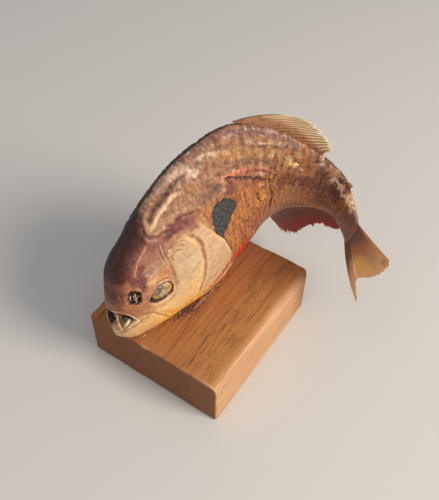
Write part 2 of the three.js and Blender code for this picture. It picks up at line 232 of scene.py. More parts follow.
class Finish:
    """One material: its principled shader, and the wires that patterns start from."""

    def __init__(self, name, **shader):
        self.material = bpy.data.materials.new(name)
        self.material.use_nodes = True
        self.tree = self.material.node_tree
        self.shader = self.tree.nodes["Principled BSDF"]
        for socket, value in shader.items():
            self.shader.inputs[socket.replace("_", " ")].default_value = value
        start = self.tree.nodes.new("ShaderNodeTexCoord")
        self.place = Wire(self.tree, start.outputs["Object"])
        self.uv = Wire(self.tree, start.outputs["UV"])

    def lines(self, name, output="Fac"):
        """A value painted on the piece's own points."""
        node = self.tree.nodes.new("ShaderNodeAttribute")
        node.attribute_name = name
        return Wire(self.tree, node.outputs[output])

    def feed(self, socket, wire):
        self.tree.links.new(wire.socket, self.shader.inputs[socket])

    def bump(self, height, strength, distance):
        values = {"Height": height, "Strength": strength, "Distance": distance}
        self.feed("Normal", self.place.node("Bump", None, values))


def moved(bm, place_all):
    """Moves all the points at once: place_all takes and gives one row x, y, z for each."""
    here = np.array([v.co for v in bm.verts])
    for vert, there in zip(bm.verts, place_all(here)):
        vert.co = there


def finished(name, bm, material, nodes=(), smooth=True):
    """Makes the object, and lets it stand for its CAD nodes."""
    mesh = bpy.data.meshes.new(name)
    bm.to_mesh(mesh)
    bm.free()
    mesh.materials.append(material)
    mesh.polygons.foreach_set("use_smooth", [smooth] * len(mesh.polygons))
    piece = bpy.data.objects.new(name, mesh)
    bpy.context.collection.objects.link(piece)
    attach(piece, "root")
    if nodes:
        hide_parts(*nodes)
    return piece


def fuzz(points, size, octaves=2, seed=0.0):
    """Noise from about -1 to 1 at each point, with lumps of about this size."""
    rows = points / size + np.array([seed * 7.31, seed * 3.17, seed * 5.73])
    return np.array([noise.fractal(row, 0.9, 2.0, octaves) for row in rows])


def block_shape():
    """The sawn block with its eased edges, cut into small faces."""
    size = BLOCK_HIGH - BLOCK_LOW
    middle = (BLOCK_HIGH + BLOCK_LOW) / 2
    bm = bmesh.new()
    bmesh.ops.create_cube(bm, size=1)
    place = Matrix.Translation(middle) @ Matrix.Diagonal((*size, 1))
    bmesh.ops.transform(bm, verts=bm.verts, matrix=place)

    def ease(chosen, radius, segments):
        bmesh.ops.bevel(bm, geom=chosen, affect="EDGES", offset=radius, segments=segments,
                        profile=0.5, material=-1, clamp_overlap=True)

    def upright(edge, far_x, near_y):
        a, b = (v.co for v in edge.verts)
        return abs(a.z - b.z) > size.z / 2 and (a.x > middle.x) == far_x and (a.y < middle.y) == near_y

    ease([e for e in bm.edges if upright(e, True, True)], 3.2 * MM, 8)
    ease([e for e in bm.edges if upright(e, False, True)], 0.9 * MM, 4)
    ease([e for e in bm.edges if upright(e, False, False) or upright(e, True, False)], 0.9 * MM, 4)
    level = [e for e in bm.edges if abs(e.verts[0].co.z - e.verts[1].co.z) < 1e-6]
    rims = [e for e in level if e.calc_face_angle(0) > 1.2]
    ease(rims, 0.55 * MM, 3)
    for axis, cuts in ((0, 60), (1, 48), (2, 20)):
        for k in range(1, cuts):
            place, way = Vector(), Vector()
            place[axis] = BLOCK_LOW[axis] + size[axis] * k / cuts
            way[axis] = 1
            everything = bm.verts[:] + bm.edges[:] + bm.faces[:]
            bmesh.ops.bisect_plane(bm, geom=everything, plane_co=place, plane_no=way)
    return bm


def worn(points):
    """The near long edge is eased by sanding to a soft shoulder, and handling has worn the others unevenly.
    """
    low, high = np.array(BLOCK_LOW), np.array(BLOCK_HIGH)
    near = np.minimum(points - low, high - points)
    edge = np.sort(near, axis=1)[:, 1]
    loss = np.clip(1 - edge / (1.6 * MM), 0, 1) * np.clip(0.25 + fuzz(points, 5 * MM, 3), 0, 1.2)
    inward = np.sign((low + high) / 2 - points)
    points = points + inward * (loss * 0.3 * MM)[:, None] * (near < 1.6 * MM)
    reach = SHOULDER * (1 + 0.12 * fuzz(points[:, :1] * (1, 0, 0), 20 * MM, 2))
    side = points[:, 1] - low[1]
    under = high[2] - points[:, 2]
    corner = (side < reach) & (under < reach)
    out = np.hypot(reach - side, reach - under)
    scale = np.where(corner & (out > reach), reach / np.maximum(out, 1e-9), 1)
    points[:, 1] = low[1] + reach - (reach - side) * scale
    points[:, 2] = high[2] - reach + (reach - under) * scale
    return points


def wood():
    """Growth rings, streaks, pores, cracks and wear, from the places in the board."""
    look = Finish("oiled_hardwood", Roughness=0.5, IOR=1.45)
    place = look.place
    x, y, z = (place.node("SeparateXYZ", None, {0: place}, output=k) for k in range(3))
    # growth rings round a pith far below the board, waved along its length
    wave = place.stretched((9, 90, 90)).cloud(1.0, 2.0)
    across = y + 0.021
    below = z + 0.034
    rings = (across * across + below * below) ** 0.5 * 430 + wave * 3.4
    band = rings.sum("FRACT", rings)
    late = band.rise(0.35, 0.95) * band.rise(1.0, 0.93)
    streak = place.stretched((40, 1300, 900)).cloud(1.0, 4.0, 0.66, 0.3)
    broad = place.stretched((11, 120, 60)).cloud(1.0, 2.0)
    # a golden band along the near side, clouded with dark figure
    golden = y.rise(-0.0105, -0.0235) * x.rise(0.026, 0.008)
    figure = place.stretched((130, 520, 400)).cloud(1.0, 3.0, 0.62, 0.6)
    near_side = y.rise(-0.008, -0.015) * y.rise(-0.0275, -0.024)
    clouded = figure.rise(0.46, 0.64) * near_side * (1.3 - streak)
    # pores are short dashes along the grain, and dots on the sawn ends
    ends = look.lines("sawn_end")
    pore = place.stretched((150, 2300, 2300)).cells(1.0).rise(0.22, 0.06) * streak.rise(0.42, 0.58)
    speck = place.stretched((1100, 1500, 1500)).cells(1.0).rise(0.30, 0.12) * ends
    dot = place.cells(620).rise(0.17, 0.08) * figure.rise(0.40, 0.56)
    fleck = place.cells(1300).rise(0.26, 0.12) * ends
    dust = place.stretched((900, 1900, 1500)).cloud(1.0, 3.0, 0.65)
    ragged = place.stretched((420, 1500, 900)).cloud(1.0, 2.0)
    cracks = []
    for start, end, first, lean, half in CRACKS:
        line = y / MM - (first + (x / MM - start) * lean) - (ragged - 0.5) * 0.5 - (wave - 0.5) * 0.9
        inside_ends = (x / MM).rise(start - 0.1, start + 2.5) * (x / MM).rise(end + 0.1, end - 2.5)
        cracks.append((line.sum("ABSOLUTE", line) / half).rise(1.3, 0.5) * inside_ends)
    crack = cracks[0]
    for other in cracks[1:]:
        crack = crack.sum("MAXIMUM", crack, other)
    crack = crack * z.rise(0.0195, 0.0205) * figure.rise(0.28, 0.50)
    # the wood is stained dark where the glue and the crumbs lie
    off_keel = y / MM + x / MM * 0.28 + 3.4 + (figure - 0.5) * 5
    grime = off_keel.rise(2.6, 1.0) * off_keel.rise(-2.6, -0.6)
    grime = grime * (x / MM).rise(-19, -13) * (x / MM).rise(-1, -5)
    body = streak.rise(0.36, 0.64).mix(WOOD_MID, WOOD_PALE).over(
        (streak.rise(0.44, 0.34) * 0.45, WOOD_DARK),
        (late * 0.22, WOOD_DARK),
        (broad.rise(0.50, 0.75) * 0.35, WOOD_DARK),
        (golden * 0.6, WOOD_GOLD),
        (clouded * 0.62, WOOD_FIGURE),
        (pore * 0.55, WOOD_PORE),
        (dot * 0.55, WOOD_PORE),
        (speck * 0.6, WOOD_PORE),
        (dust.rise(0.50, 0.66) * (1 - ends) * 0.45, DUST_DARK, "MULTIPLY"),
        (dust.rise(0.48, 0.34) * (1 - ends) * 0.35, DUST_PALE, "MULTIPLY"),
        # painted shade: the far end of the top and the end face at the head
        (look.lines("shaded") * 0.62, WOOD_SHADED),
        (fleck * 0.5, WOOD_FLECK),
        # painted light: the near long side and its shoulder are painted paler, as they face the window
        (look.lines("painted_light_side") * 0.92, streak.rise(0.36, 0.62).mix(WOOD_LIT_SIDE, WOOD_LIT_SIDE_PALE)),
        (look.lines("rubbed") * 0.6, WOOD_RUBBED),
        (crack * 0.9, WOOD_CRACK),
        (grime * 0.6, WOOD_GRIME),
    )
    look.feed("Base Color", body)
    look.feed("Roughness", 0.46 + streak * 0.22 + ends * 0.22)
    look.bump(streak * 0.5 + dust * 0.3 - pore * 1.0 - crack * 1.6 - speck * 0.6, 0.35, 0.00025)
    return look.material


def painted(mesh, name, values):
    """Writes one value, or one colour, for each point of a mesh."""
    values = np.asarray(values, dtype=np.float32)
    kind, field = ("FLOAT", "value") if values.ndim == 1 else ("FLOAT_COLOR", "color")
    if values.ndim == 2 and values.shape[1] == 3:
        values = np.column_stack([values, np.ones(len(values), dtype=np.float32)])
    mesh.attributes.new(name, kind, "POINT").data.foreach_set(field, values.ravel())


def ramp(value, low, high):
    """0 up to low, 1 from high on, with an even slope between: low may be the larger."""
    t = np.clip((value - low) / (high - low), 0, 1)
    return t * t * (3 - 2 * t)


bm = block_shape()
moved(bm, worn)
board = finished("block_board", bm, wood(), ["block"], smooth=True)
board.modifiers.new("crisp", "WEIGHTED_NORMAL").keep_sharp = True
points = np.array([v.co for v in board.data.vertices])
normals = np.array([v.normal for v in board.data.vertices])
low, high = np.array(BLOCK_LOW), np.array(BLOCK_HIGH)
near = np.sort(np.minimum(points - low, high - points), axis=1)[:, 1]
x, y = points[:, 0], points[:, 1]
painted(board.data, "sawn_end", ramp(np.abs(normals[:, 0]), 0.6, 0.95))
on_rim = ramp(near, 1.3 * MM, 0.3 * MM)
handled = ramp(fuzz(points, 7 * MM, 3, 4.0), -0.3, 0.5) * (0.2 + 0.8 * ramp(y, -0.014, -0.026))
chipped = ramp(np.hypot(x + 0.0343, y - 0.003), 1.6 * MM, 0.6 * MM)
painted(board.data, "rubbed", on_rim * np.maximum(handled, chipped))
# painted light: the near long side and its shoulder are painted paler, most where they face the window
shoulder = ramp(y, -0.0252, -0.0288) * ramp(-normals[:, 0], 0.9, 0.6) * ramp(x, 0.036, 0.018)
painted(board.data, "painted_light_side", shoulder * (0.45 + 0.55 * ramp(-normals[:, 1], 0.2, 0.8)))
# painted shade: the far end of the top, where the tail's shadow falls, and the end face at the head, which
# is turned from the light
far_end = ramp(x, 0.012, 0.034) * ramp(y, -0.024, 0.01) * ramp(normals[:, 2], 0.5, 0.9)
painted(board.data, "shaded", np.maximum(far_end, ramp(-normals[:, 0], 0.6, 0.9) * 0.8))

# ------------------------------------------------------------------ the body's own lines
# The fish dried bent, so every place on it is told by its own lines: s along the backbone from the
# upper lip (0) to the root of the tail fin (1), h up towards the back, and w out to the left. All
# three are in standard lengths, and set_at(s, h, w) gives the place in the room.

LENGTH = 123.5 * MM
HELD_AT = 0.13
HELD_POINT = np.array([-20.4, 11.9, 39.4]) * MM
TAILWARD = (0.924, -0.191, 0.331)
BACKWARD = (-0.231, 0.412, 0.882)
BACKBONE_STEPS = 260
BACKBONE_END = 1.3
# per standard length: bend to the left, bend up, and twist of the back to the right
BEND = np.array([
    (0.2799, 0, 0, 0), (0.28, -0.3, -0.7, 1.5), (0.42, 0.1, -0.7, 1.1), (0.55, 2.5, -1.25, 1.35),
    (0.68, 2.95, -0.95, 1.9), (0.8, 6.5, -0.25, -0.2), (0.92, 6.1, 0.5, -0.4), (1.05, -0.7, 0.5, 0.4),
    (1.3, -1.2, 0, 0.5),
])
# at each s: back, belly, half width, height of the widest place, how boxy the section is above and
# below it (over 1 runs out to a keel), and how far the keel is pushed to the right
BODY = np.array([
    (-0.035, -0.05, -0.06, 0.004, -0.055, 0.8, 0.8, 0), (-0.02, -0.012, -0.087, 0.028, -0.05, 0.75, 0.8, 0),
    (0, 0.03, -0.104, 0.045, -0.045, 0.7, 0.8, 0), (0.03, 0.073, -0.116, 0.06, -0.04, 0.6, 0.85, 0),
    (0.07, 0.12, -0.13, 0.073, -0.035, 0.52, 0.9, 0), (0.11, 0.145, -0.145, 0.079, -0.03, 0.5, 0.95, 0),
    (0.16, 0.163, -0.166, 0.08, -0.03, 0.56, 1, 0.004),
    (0.22, 0.188, -0.19, 0.084, -0.03, 0.62, 1.05, 0.011),
    (0.29, 0.216, -0.211, 0.086, -0.02, 0.7, 1.1, 0.016),
    (0.36, 0.25, -0.225, 0.083, -0.01, 0.8, 1.15, 0.014),
    (0.44, 0.277, -0.238, 0.07, 0.02, 0.88, 1.2, 0.006), (0.53, 0.294, -0.247, 0.06, 0.05, 0.9, 1.2, 0),
    (0.6, 0.268, -0.245, 0.053, 0.06, 0.9, 1.2, 0), (0.67, 0.226, -0.215, 0.046, 0.05, 0.9, 1.1, 0),
    (0.74, 0.18, -0.186, 0.04, 0.04, 0.9, 1, 0), (0.81, 0.133, -0.138, 0.034, 0.03, 0.9, 0.9, 0),
    (0.87, 0.104, -0.085, 0.029, 0.01, 0.9, 0.9, 0), (0.92, 0.066, -0.063, 0.024, 0, 0.9, 0.9, 0),
    (1, 0.045, -0.06, 0.012, 0, 0.9, 0.9, 0),
])


def squared(along, back):
    along = along / np.linalg.norm(along)
    back = back - along * back.dot(along)
    back = back / np.linalg.norm(back)
    return along, back, np.cross(along, back)


def backbone():
    """The bent backbone: each step's place, and its ways along, to the back and to the left."""
    step = BACKBONE_END / BACKBONE_STEPS
    along, back, left = squared(np.array(TAILWARD), np.array(BACKWARD))
    place = np.zeros(3)
    rows = []
    for i in range(BACKBONE_STEPS + 1):
        rows.append((place, along, back, left))
        to_left, to_back, twist = (np.interp(i * step, BEND[:, 0], BEND[:, k]) for k in (1, 2, 3))
        new_along = along + left * to_left * step + back * to_back * step
        new_back = back - along * to_back * step + left * twist * step
        before = along
        along, back, left = squared(new_along, new_back)
        place = place + (before + along) / 2 * step * LENGTH
    rows = [np.array([row[k] for row in rows]) for k in range(4)]
    rows[0] += HELD_POINT - rows[0][round(HELD_AT / step)]
    return rows


SPINE = backbone()


def set_at(s, h, w):
    """Places on or round the bent body, one row for each s, h and w."""
    s, h, w = np.broadcast_arrays(*(np.asarray(v, dtype=float) for v in (s, h, w)))
    x = np.clip(s / (BACKBONE_END / BACKBONE_STEPS), 0, BACKBONE_STEPS - 0.001)
    i = x.astype(int)
    t = (x - i)[..., None]
    point, back, left = (SPINE[k][i] * (1 - t) + SPINE[k][i + 1] * t for k in (0, 2, 3))
    ahead_of_lip = SPINE[1][0] * (np.minimum(s, 0) * LENGTH)[..., None]
    return point + ahead_of_lip + back * (h * LENGTH)[..., None] + left * (w * LENGTH)[..., None]


def fair(rows, at):
    """The rows' columns at these places, on smooth curves that never swing past the rows."""
    rows = np.asarray(rows, dtype=float)
    at = np.asarray(at, dtype=float)
    slope = np.diff(rows[:, 1:], axis=0) / np.diff(rows[:, 0])[:, None]
    middle = np.where(slope[:-1] * slope[1:] <= 0, 0, (slope[:-1] + slope[1:]) / 2)
    tangent = np.vstack([slope[:1], middle, slope[-1:]])
    i = np.clip(np.searchsorted(rows[:, 0], at, side="left") - 1, 0, len(rows) - 2)
    span = (rows[i + 1, 0] - rows[i, 0])[..., None]
    t = np.clip((at - rows[i, 0])[..., None] / span, 0, 1)
    rise = t * t * (3 - 2 * t)
    out = (t ** 3 - 2 * t ** 2 + t) * span * tangent[i]
    into = (t ** 3 - t ** 2) * span * tangent[i + 1]
    return rows[i, 1:] * (1 - rise) + rows[i + 1, 1:] * rise + out + into


def section(s, turn):
    """h and w of the skin: turn 0 is the ridge of the back, and a quarter turn is the left side."""
    top, bottom, half, widest, above, below, keel = np.moveaxis(fair(BODY, s), -1, 0)
    rise, side = np.cos(turn), np.sin(turn)
    h = np.where(rise > 0, widest + (top - widest) * rise, widest + (widest - bottom) * rise)
    w = half * np.sign(side) * np.abs(side) ** np.where(rise > 0, above, below)
    return h, w - keel * np.maximum(0, -rise) ** 2


def curved(points, closed=False, per_span=8):
    """A smooth line, as rows of s, h, through points in percent of the standard length."""
    p = np.array(points, dtype=float) / 100
    before, after = (p[-1:], p[:2]) if closed else (2 * p[0] - p[1], 2 * p[-1] - p[-2])
    around = np.vstack([before, p, after])
    found = []
    for a, b, c, d in zip(around[:-3], around[1:-2], around[2:-1], around[3:]):
        for t in np.arange(per_span) / per_span:
            found.append(0.5 * (2 * b + (c - a) * t + (2 * a - 5 * b + 4 * c - d) * t ** 2
                                + (3 * b - a - 3 * c + d) * t ** 3))
    if not closed:
        found.append(p[-1])
    return np.array(found)


def off_line(s, h, points, closed=False):
    """Millimetres from each place to a smooth line, and how far along it the nearest point is."""
    line = curved(points, closed)
    ends = np.roll(line, -1, axis=0) if closed else line[1:]
    line = line if closed else line[:-1]
    best = np.full(s.shape, 1e9)
    share = np.zeros(s.shape)
    for k, (a, b) in enumerate(zip(line, ends)):
        run = b - a
        t = np.clip(((s - a[0]) * run[0] + (h - a[1]) * run[1]) / run.dot(run), 0, 1)
        gap = np.hypot(s - a[0] - run[0] * t, h - a[1] - run[1] * t)
        share = np.where(gap < best, (k + t) / len(line), share)
        best = np.minimum(best, gap)
    return best * LENGTH / MM, share


def beside(s, h, points):
    """The same, but less than 0 on the right of the line's run, and far larger beyond its ends."""
    gap, share = off_line(s, h, points)
    line = curved(points)
    k = np.minimum((share * (len(line) - 1)).astype(int), len(line) - 2)
    run = line[k + 1] - line[k]
    turn = run[..., 0] * (h - line[k, 1]) - run[..., 1] * (s - line[k, 0])
    return np.sign(turn) * gap / (0.04 + ramp(share, 0, 0.12) * ramp(share, 1, 0.88))


def inside(s, h, points):
    """Millimetres from each place to an outline: more than 0 inside it."""
    gap, _ = off_line(s, h, points, closed=True)
    line = curved(points, closed=True)
    odd = np.zeros(s.shape, dtype=bool)
    for a, b in zip(line, np.roll(line, -1, axis=0)):
        if a[1] != b[1]:
            crosses = (a[1] > h) != (b[1] > h)
            odd ^= crosses & (s < (b[0] - a[0]) * (h - a[1]) / (b[1] - a[1]) + a[0])
    return np.where(odd, gap, -gap)


# ------------------------------------------------------------------ the skin, its form
# One dried skin from the lips to the tail fin, drawn tight over the bones of the head and fallen in
# between the muscles. It is worked like clay: each bone, crease and hollow is pressed in or raised,
# along lines and outlines that go through points s, h in percent of the standard length.

EYE_RIM = [
    (9.75, -0.4), (10.8, -1.8), (12.2, -2.65), (13.4, -3.1), (14.6, -3.5), (15.7, -3.6), (16.8, -3.3),
    (17.7, -2.6), (18.25, -1.65), (18.2, -0.45), (17.8, 0.4), (17, 0.9), (16.1, 1.4), (15.1, 1.75),
    (14.1, 1.8), (12.9, 1.4), (11.5, 0.95), (10.3, 0.55),
]
LID_LINE = [(13.4, 2.1), (14.3, 2.5), (15.2, 2.6), (16.1, 2.4), (17.1, 2.1), (17.9, 1.6), (18.6, 0.4)]
NOSTRIL_RIM = [
    (5.45, 3.5), (5.9, 2.55), (6.6, 1.85), (7.3, 1.65), (8.15, 2.15), (8.85, 2.85), (9.45, 4.1), (9.3, 5.2),
    (8.8, 6.05), (7.85, 6.5), (7, 6.4), (6.45, 5.8), (5.85, 4.8),
]
GAPE = [
    (-8, 7), (-2, 5), (0.1, 3.4), (0.8, 3), (1.4, 2.4), (2.4, 1), (3.1, -0.3), (3.3, -1.4), (3.7, -2.75),
    (2.3, -2.95), (0.9, -3.15), (-0.5, -3.55), (-1.4, -3.75), (-2.3, -3.4), (-3.4, -3.4), (-8, -3),
]
UPPER_LIP = [(-0.4, 3.8), (0.1, 3.4), (0.8, 3), (1.4, 2.4), (2.4, 1), (3.1, -0.3), (3.7, -2.6)]
LOWER_LIP = [(3.7, -3), (2.3, -3.2), (0.9, -3.4), (-0.5, -3.8), (-1.4, -4), (-2.3, -3.7), (-3.4, -3.7)]
BROW = [
    (10.8, 9.2), (11.6, 9.7), (12.2, 10.2), (13.1, 10.7), (13.7, 11.2), (14.4, 11.7), (15.3, 12.1),
    (16.3, 12.5), (17.5, 12.8), (18.6, 13.3), (19.6, 14.1),
]
FACE_VEINS = (
    [(23.8, -2.4), (25.9, -3), (27.7, -3.8), (29.6, -4.6)],
    [(21.5, 5), (21.1, 3.1), (20.4, 1.3), (19.5, -1), (18.7, -2.4)],
    [(30.9, 4.7), (31.2, 2.1), (30.6, -0.3), (29.4, -1.5)], [(28.7, -5.2), (27.8, -7.8), (26.2, -10.8)],
    [(7.9, 1.2), (7.8, 0.1), (8.4, -1.3), (9.4, -2)],
    [(10.3, -3.8), (12.8, -4.7), (15.5, -4.9), (17, -4.4)],
    [(7.4, 0.6), (8, -2.2), (9, -5.6), (10.8, -8.8), (11.3, -12)],
    [(4.9, 8.2), (4.2, 6.4), (3.8, 4.8), (4.6, 2.5), (6.2, 0.6)], [(23.2, 5.5), (24.8, 6.2), (26.7, 5.9)],
)
JAW_CREASE = [(5, -2.2), (7.5, -3), (9, -5.2), (10.6, -9.5), (11.2, -12.5)]
CHEEK_CREASE = [(22.6, 11.4), (22.4, 10.6), (21.8, 9.2), (21.4, 7.5), (21.3, 5.6)]
CHEEK_EDGE = [(21, 5), (20.9, 3.5), (20.7, 2.3), (20.4, 0.9), (19.9, -0.4), (19.3, -1.8)]
CHEEK_ARCS = (
    [(28.5, 6.1), (27.8, 6.3), (26.2, 7.2), (24.7, 7.4), (23.5, 7.1), (22.3, 6), (21.8, 4.8)],
    [(27, 5.3), (26.3, 5.7), (25, 6.5), (23.7, 6.2), (23, 5.6), (22.6, 4.6)],
    [(29.2, 7.2), (27.6, 7.9), (25.8, 8.3), (24, 8.3), (22.8, 7.7)],
)
LOBE_RIM = [(28.2, 13.4), (29.3, 13.8), (30, 14), (30.6, 14.4), (31.5, 14.5), (32.2, 14.4), (33.2, 14)]
CHEEK_BONE = [
    (21.9, 7.8), (23.9, 8.2), (26.4, 8.8), (29, 8.8), (31.3, 7.1), (32.2, 3.9), (31.3, -0.9), (29.1, -5.5),
    (25.8, -9.2), (21.6, -13.8), (15, -12), (11.8, -8.5), (11, -5), (15, -5), (18.8, -2.5), (20.5, 1.1),
    (21.4, 4.5),
]
COVER_LINE = [
    (30.4, 7.2), (31.4, 6.2), (32, 4.2), (32.2, 3), (31.9, 1.4), (31.3, 0), (30.9, -1.7), (30.2, -3.5),
    (29.2, -5.5), (27.5, -8), (25, -10.6), (21.4, -14.2),
]
COVER_EDGE = [
    (33.5, 10.5), (36, 7), (37.8, 2), (39.3, -2.2), (40.2, -7), (40.7, -11.2), (40, -13.5), (37.4, -14.5),
    (33, -15), (28, -15.5), (23.5, -15.8), (19, -15.3),
]
COVER = [(30, 10), *COVER_EDGE, (19, -10), (25, 0)]
NAPE_EDGE = [
    (26.2, 20.8), (24, 19.8), (22.4, 18), (21.6, 15.8), (22.8, 13.9), (24.9, 13.3), (26.8, 13.1),
    (29.3, 13.6), (31.9, 14.1), (34.4, 13.1), (37, 12.5),
]
NAPE_RIDGE = [(23.4, 15.8), (25.5, 16.9), (28.6, 18.1), (31.2, 19.4), (33.1, 20.4), (36, 20)]
NAPE_HOLLOW = [(25, 18.3), (27.1, 19.3), (30.2, 20.6), (34, 22.3), (38, 23.6)]
FLANK_RIDGE = [(43, 16.2), (47.2, 16.8), (51.7, 16.3), (56.3, 15.2), (60.3, 12.8), (63.2, 10)]
FLANK_GROOVE = [
    (46.5, 16.2), (48, 15.8), (50.2, 14.2), (52.2, 13.3), (54.6, 11.8), (56.7, 10.4), (58.9, 9.1),
    (61.5, 7.8),
]
UPPER_CREASE = [(40, 23.2), (43.4, 25), (47.9, 25.5), (52.2, 24.2), (58.8, 21.6), (65, 19.4), (72, 16.5)]
BAND_CREASE = [(40, 20), (43.4, 22), (48.6, 20.8), (53.8, 18.7), (58.5, 16.8), (61.2, 15.2)]
FRONT_FOLD = [(56, 8.5), (56.6, 6.5), (56.5, 4.8), (56.8, 3), (57.4, 0.7), (59, -2)]
REAR_FOLD = [(60.8, 9.5), (61.4, 6.8), (62.1, 3.8), (63.3, 0), (63.4, -3.2), (63.5, -7)]
LOZENGE = [(56.9, 3.8), (58.7, 5), (60.4, 3), (60.7, 0.2), (59.4, -1.4), (57.8, 0.4)]
MARK = [
    (44.9, 10.3), (45.5, 9.3), (46.8, 8.4), (47.7, 6.8), (48.1, 5), (47.2, 3.9), (46.1, 3.1), (45, 2.2),
    (44.2, 0.9), (43.1, 0.1), (41.7, -0.6), (40.5, -0.7), (39.9, -1.4), (39.7, -2.8), (39.2, -2.6),
    (38.8, -1.4), (38.3, 0), (37.9, 1.2), (37.9, 3), (38.1, 4.7), (38.6, 6.4), (39, 8.2), (40, 9.3),
    (40.8, 10.2), (41.7, 10.4), (42.6, 10.4), (43.6, 9.9), (44.3, 10.5),
]
HEAD_EDGE = [
    (-10, -30), (10, -30), (19, -20), (23.5, -16.6), (33, -15.6), (40, -14), (40.7, -11.2), (40.2, -7),
    (39.3, -2.2), (37.8, 2), (37.2, 7), (37, 11.8), (34.4, 13.1), (31.9, 14.1), (29.3, 13.6), (24.9, 13.3),
    (22.8, 13.9), (21.6, 15.8), (22.4, 18), (23, 20), (20, 30), (-10, 30),
]
SKIN_ROWS = (150, 66, 92, 66, 34)
SKIN_ROW_ENDS = (-0.035, 0.235, 0.42, 0.7, 0.93, 1.012)
SKIN_RIGHT, SKIN_LEFT = 84, 150  # columns down each side; the left one is carved more finely
SKIN_AROUND = SKIN_RIGHT + SKIN_LEFT
SKIN_INSET = 0.22  # the scales lie over the skin by about this much


def groove(off, deep, wide):
    return -deep * np.exp(-(off / wide) ** 2)


def wrinkles(s, h, w, lengthwise, crosswise, seed=0.0):
    """Noise drawn out along or across the body; sizes in millimetres."""
    rows = [s * LENGTH / MM / lengthwise, h * LENGTH / MM / crosswise, np.sign(w) * 3.0]
    rows = np.stack(rows, axis=-1).reshape(-1, 3) + np.array([seed, seed * 2.3, seed * 1.7])
    return np.array([noise.fractal(row, 0.8, 2.1, 3) for row in rows]).reshape(s.shape)


def creased(s, h, w, lengthwise, crosswise, seed=0.0):
    """Narrow folds: 1 at the crest of each, 0 between."""
    return 1 - np.minimum(1, np.abs(wrinkles(s, h, w, lengthwise, crosswise, seed)) * 3.2)


def eye_spokes(s, h, sway):
    """Short wrinkles that stand all round the eye, as crests (1) and valleys (-1)."""
    gap = inside(s, h, EYE_RIM)
    turn = np.arctan2(h + 0.008, s - 0.142)
    near = ramp(gap, -3.4, -1.2) * ramp(gap, -0.1, -0.5)
    return np.cos(turn * 38 + 4.0 * sway) * near * np.clip(0.6 + sway, 0.1, 1)


